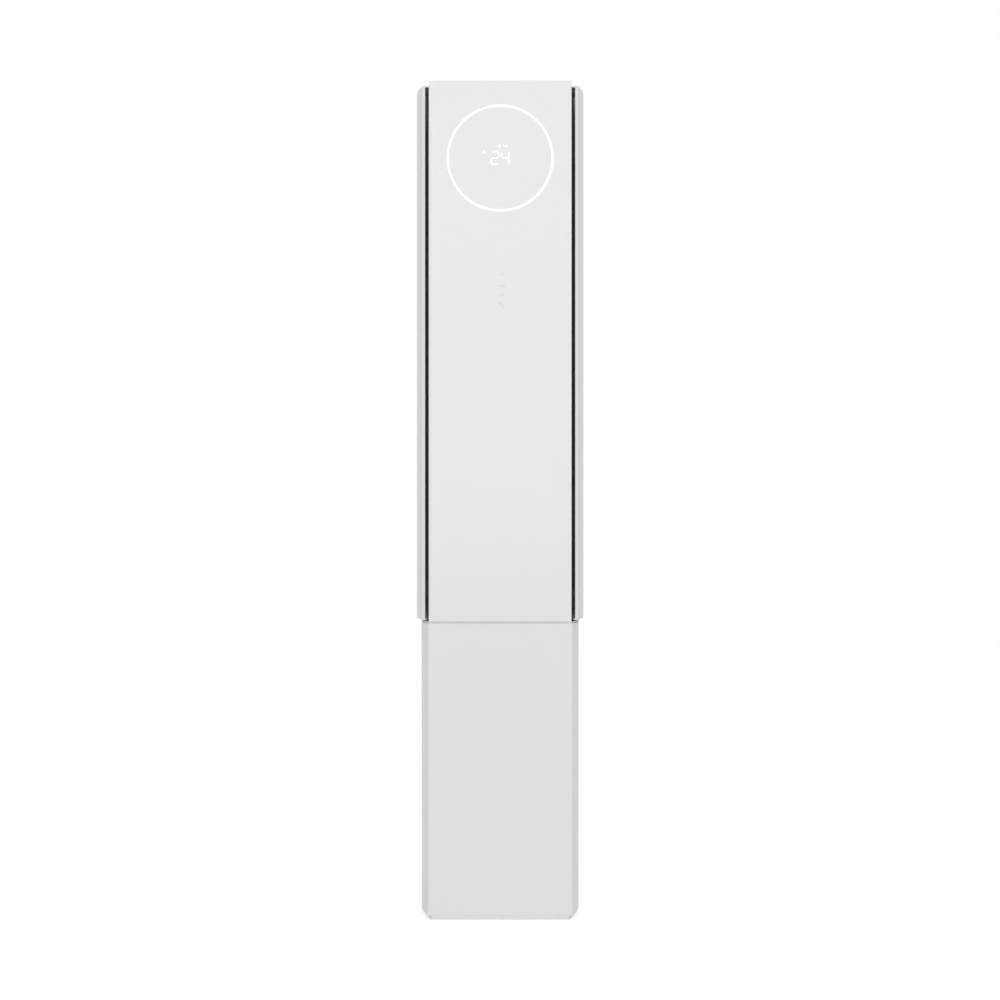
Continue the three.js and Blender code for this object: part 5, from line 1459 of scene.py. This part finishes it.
def dust_filter(sizes, level):
    """A filter: a slim ribbed frame and the net in it."""
    node = f"filter_{level}"
    low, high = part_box(node)
    rim, rib = sizes.filter_rim, sizes.filter_rib / 2
    width = (high.x - low.x - 2 * rim) / FILTER_COLUMNS
    height = (high.z - low.z - 2 * rim) / FILTER_ROWS
    holes = bmesh.new()
    for column in range(FILTER_COLUMNS):
        for row in range(FILTER_ROWS):
            x = low.x + rim + column * width
            z = low.z + rim + row * height
            far = (x + width - rib, high.y + PAST, z + height - rib)
            block(holes, (x + rib, low.y - PAST, z + rib), far)
    bm = bmesh.new()
    block(bm, low, high)
    bm = combined(bm, "DIFFERENCE", [holes])
    make_piece(f"{node}_frame", bm, node, replaces=True, bevel=FILTER_EDGE, material=finish("fan_plastic"))
    middle_y = (low.y + high.y) / 2
    edge = Vector((rim / 2, 0, rim / 2))
    net_low = Vector((low.x, middle_y - NET_HALF, low.z)) + edge
    net_high = Vector((high.x, middle_y + NET_HALF, high.z)) - edge
    net = bmesh.new()
    block(net, net_low, net_high)
    make_piece(f"{node}_net", net, node)


# ---- Operators -------------------------------------------------------------------------------------

class TOWER_OT_lower_cabinet(bpy.types.Operator):
    """Make the lower covers, the plinth and the feet"""

    bl_idname = "tower.lower_cabinet"
    bl_label = "Lower cabinet"

    def execute(self, context):
        """Makes the pieces."""
        plan = Plan()
        sizes = context.scene.tower_shell
        front_cover(plan, sizes)
        rear_cover(plan, sizes)
        plinth(plan, sizes)
        feet()
        return {"FINISHED"}


class TOWER_OT_upper_shell(bpy.types.Operator):
    """Make the rear casing and the top cover"""

    bl_idname = "tower.upper_shell"
    bl_label = "Upper shell"

    def execute(self, context):
        """Makes the pieces."""
        plan = Plan()
        sizes = context.scene.tower_shell
        casing(plan, sizes)
        roof(plan, sizes)
        return {"FINISHED"}


class TOWER_OT_front_panel(bpy.types.Operator):
    """Make the front panel and its light ring"""

    bl_idname = "tower.front_panel"
    bl_label = "Front panel"

    def execute(self, context):
        """Makes the pieces."""
        front_panel(context.scene.tower_panel)
        light_ring()
        return {"FINISHED"}


class TOWER_OT_display(bpy.types.Operator):
    """Make the number, the symbols and the touch marks"""

    bl_idname = "tower.display"
    bl_label = "Display"

    def execute(self, context):
        """Makes the pieces."""
        sizes = context.scene.tower_display
        digits(sizes)
        symbols(sizes)
        touch_marks(sizes)
        return {"FINISHED"}


class TOWER_OT_wings(bpy.types.Operator):
    """Make the two sliding wings"""

    bl_idname = "tower.wings"
    bl_label = "Wings"

    def execute(self, context):
        """Makes the pieces."""
        section = WingSection()
        for side in SIDES:
            wing(section, side)
        return {"FINISHED"}


class TOWER_OT_vanes(bpy.types.Operator):
    """Make the two air vanes"""

    bl_idname = "tower.vanes"
    bl_label = "Air vanes"

    def execute(self, context):
        """Makes the pieces."""
        for side in SIDES:
            vane(side)
        return {"FINISHED"}


class TOWER_OT_cassettes(bpy.types.Operator):
    """Make the intake cassettes and their filters"""

    bl_idname = "tower.cassettes"
    bl_label = "Intake cassettes"

    def execute(self, context):
        """Makes the pieces."""
        for level in LEVELS:
            cassette(context.scene.tower_grille, level)
            dust_filter(context.scene.tower_grille, level)
        return {"FINISHED"}


class TOWER_OT_inner_finishes(bpy.types.Operator):
    """Give each packed part that still shows the finish of its slot"""

    bl_idname = "tower.inner_finishes"
    bl_label = "Inner parts' finishes"

    def execute(self, context):
        """Sets the materials."""
        for name, node in frame["nodes"].items():
            node.data.materials.clear()
            node.data.materials.append(finish(slot_of(name)))
        return {"FINISHED"}


class TOWER_OT_stage(bpy.types.Operator):
    """Make the camera, the lamps, the floor and the backdrop"""

    bl_idname = "tower.stage"
    bl_label = "Stage"

    def execute(self, context):
        """Makes the stage."""
        sizes = context.scene.tower_stage
        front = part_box("front_panel")[0].y
        camera(sizes, front)
        lamps(sizes, front)
        floor(sizes)
        room(sizes)
        view = context.scene.view_settings
        view.view_transform = "Standard"
        return {"FINISHED"}


def camera(sizes, front):
    """The photograph's camera, level and square to the front."""
    made = bpy.data.cameras.new("camera")
    made.lens = sizes.lens
    made.sensor_width = SENSOR
    made.dof.use_dof = False
    made.clip_end = 100
    camera_object = bpy.data.objects.new("camera", made)
    camera_object.location = (-sizes.camera_side, front - sizes.camera_away, sizes.camera_height)
    camera_object.rotation_euler = (QUARTER, 0, 0)
    bpy.context.scene.collection.objects.link(camera_object)
    bpy.context.scene.camera = camera_object


def lamp(name, placing, front, power, side=1):
    """A plain rectangular lamp that faces its target, on one side of the middle."""
    *places, size = placing
    place, target = (Vector((side * across, front - out, up)) for across, out, up in places)
    made = bpy.data.lights.new(name, "AREA")
    made.shape = "RECTANGLE"
    made.size, made.size_y = size
    made.energy = power
    lamp_object = bpy.data.objects.new(name, made)
    lamp_object.location = place
    lamp_object.rotation_euler = (target - place).to_track_quat("-Z", "Y").to_euler()
    bpy.context.scene.collection.objects.link(lamp_object)


def lamps(sizes, front):
    """A broad key lamp in front, a tall strip at each side and a soft lamp above."""
    lamp("key", KEY_LAMP, front, sizes.key_power)
    for side in SIDES.values():
        lamp(f"strip_{side}", SIDE_LAMP, front, sizes.side_power, side)
    lamp("above", LAMP_ABOVE, front, sizes.above_power)


def background_share(tree):
    """1 for what the camera sees straight, mirrored or through glass."""
    path = tree.nodes.new("ShaderNodeLightPath")
    total = calculated(tree, "MAXIMUM", path.outputs["Is Camera Ray"], path.outputs["Is Glossy Ray"])
    return calculated(tree, "MAXIMUM", total, path.outputs["Is Transmission Ray"])


def floor(sizes):
    """A plain white floor that keeps the object's shadow."""
    bm = bmesh.new()
    bmesh.ops.create_grid(bm, x_segments=1, y_segments=1, size=sizes.floor_half)
    mesh = bpy.data.meshes.new("floor")
    bm.to_mesh(mesh)
    bm.free()
    ground = bpy.data.objects.new("floor", mesh)
    bpy.context.scene.collection.objects.link(ground)
    material, tree, shader = new_material("floor_white")
    shader.inputs["Base Color"].default_value = (FLOOR_TONE, FLOOR_TONE, FLOOR_TONE, 1)
    shader.inputs["Roughness"].default_value = FLOOR_ROUGHNESS
    glow = tree.nodes.new("ShaderNodeEmission")
    strength = calculated(tree, "MULTIPLY", background_share(tree), FLOOR_GLOW)
    tree.links.new(strength, glow.inputs["Strength"])
    both = tree.nodes.new("ShaderNodeAddShader")
    tree.links.new(shader.outputs["BSDF"], both.inputs[0])
    tree.links.new(glow.outputs["Emission"], both.inputs[1])
    tree.links.new(both.outputs["Shader"], tree.nodes["Material Output"].inputs["Surface"])
    mesh.materials.append(material)


def room(sizes):
    """Even light from all round, over a white background."""
    world = bpy.data.worlds.new("room")
    bpy.context.scene.world = world
    world.use_nodes = True
    tree = world.node_tree
    light = tree.nodes["Background"]
    light.inputs["Color"].default_value = (1, 1, 1, 1)
    share = background_share(tree)
    level = ranged(tree, share, 0.0, 1.0, sizes.room_level, 1.0)
    tree.links.new(level, light.inputs["Strength"])


class TOWER_PT_sidebar(bpy.types.Panel):
    """Lists the pieces of the tower air conditioner and their sizes"""

    bl_idname = "TOWER_PT_sidebar"
    bl_label = "Tower air conditioner"
    bl_space_type = "VIEW_3D"
    bl_region_type = "UI"
    bl_category = "Tower"

    def draw(self, context):
        """Draws a button for each operator, then the sizes."""
        for operator in OPERATORS:
            self.layout.operator(operator.bl_idname)
        for name, group in GROUPS.items():
            box = self.layout.box()
            box.label(text=group.__doc__)
            for prop in group.__annotations__:
                box.prop(getattr(context.scene, name), prop)


OPERATORS = (
    TOWER_OT_lower_cabinet,
    TOWER_OT_upper_shell,
    TOWER_OT_front_panel,
    TOWER_OT_display,
    TOWER_OT_wings,
    TOWER_OT_vanes,
    TOWER_OT_cassettes,
    TOWER_OT_inner_finishes,
    TOWER_OT_stage,
)


def register():
    """Makes the sizes, operators and panel known to Blender."""
    for name, group in GROUPS.items():
        bpy.utils.register_class(group)
        setattr(bpy.types.Scene, name, PointerProperty(type=group))
    for made in (*OPERATORS, TOWER_PT_sidebar):
        bpy.utils.register_class(made)


def unregister():
    """Takes them out again."""
    for made in (TOWER_PT_sidebar, *reversed(OPERATORS)):
        bpy.utils.unregister_class(made)
    for name, group in reversed(GROUPS.items()):
        delattr(bpy.types.Scene, name)
        bpy.utils.unregister_class(group)


def main():
    """Makes the whole object and its stage."""
    register()
    bpy.ops.tower.lower_cabinet()
    bpy.ops.tower.upper_shell()
    bpy.ops.tower.front_panel()
    bpy.ops.tower.display()
    bpy.ops.tower.wings()
    bpy.ops.tower.vanes()
    bpy.ops.tower.cassettes()
    bpy.ops.tower.inner_finishes()
    bpy.ops.tower.stage()


if __name__ == "__main__":
    main()
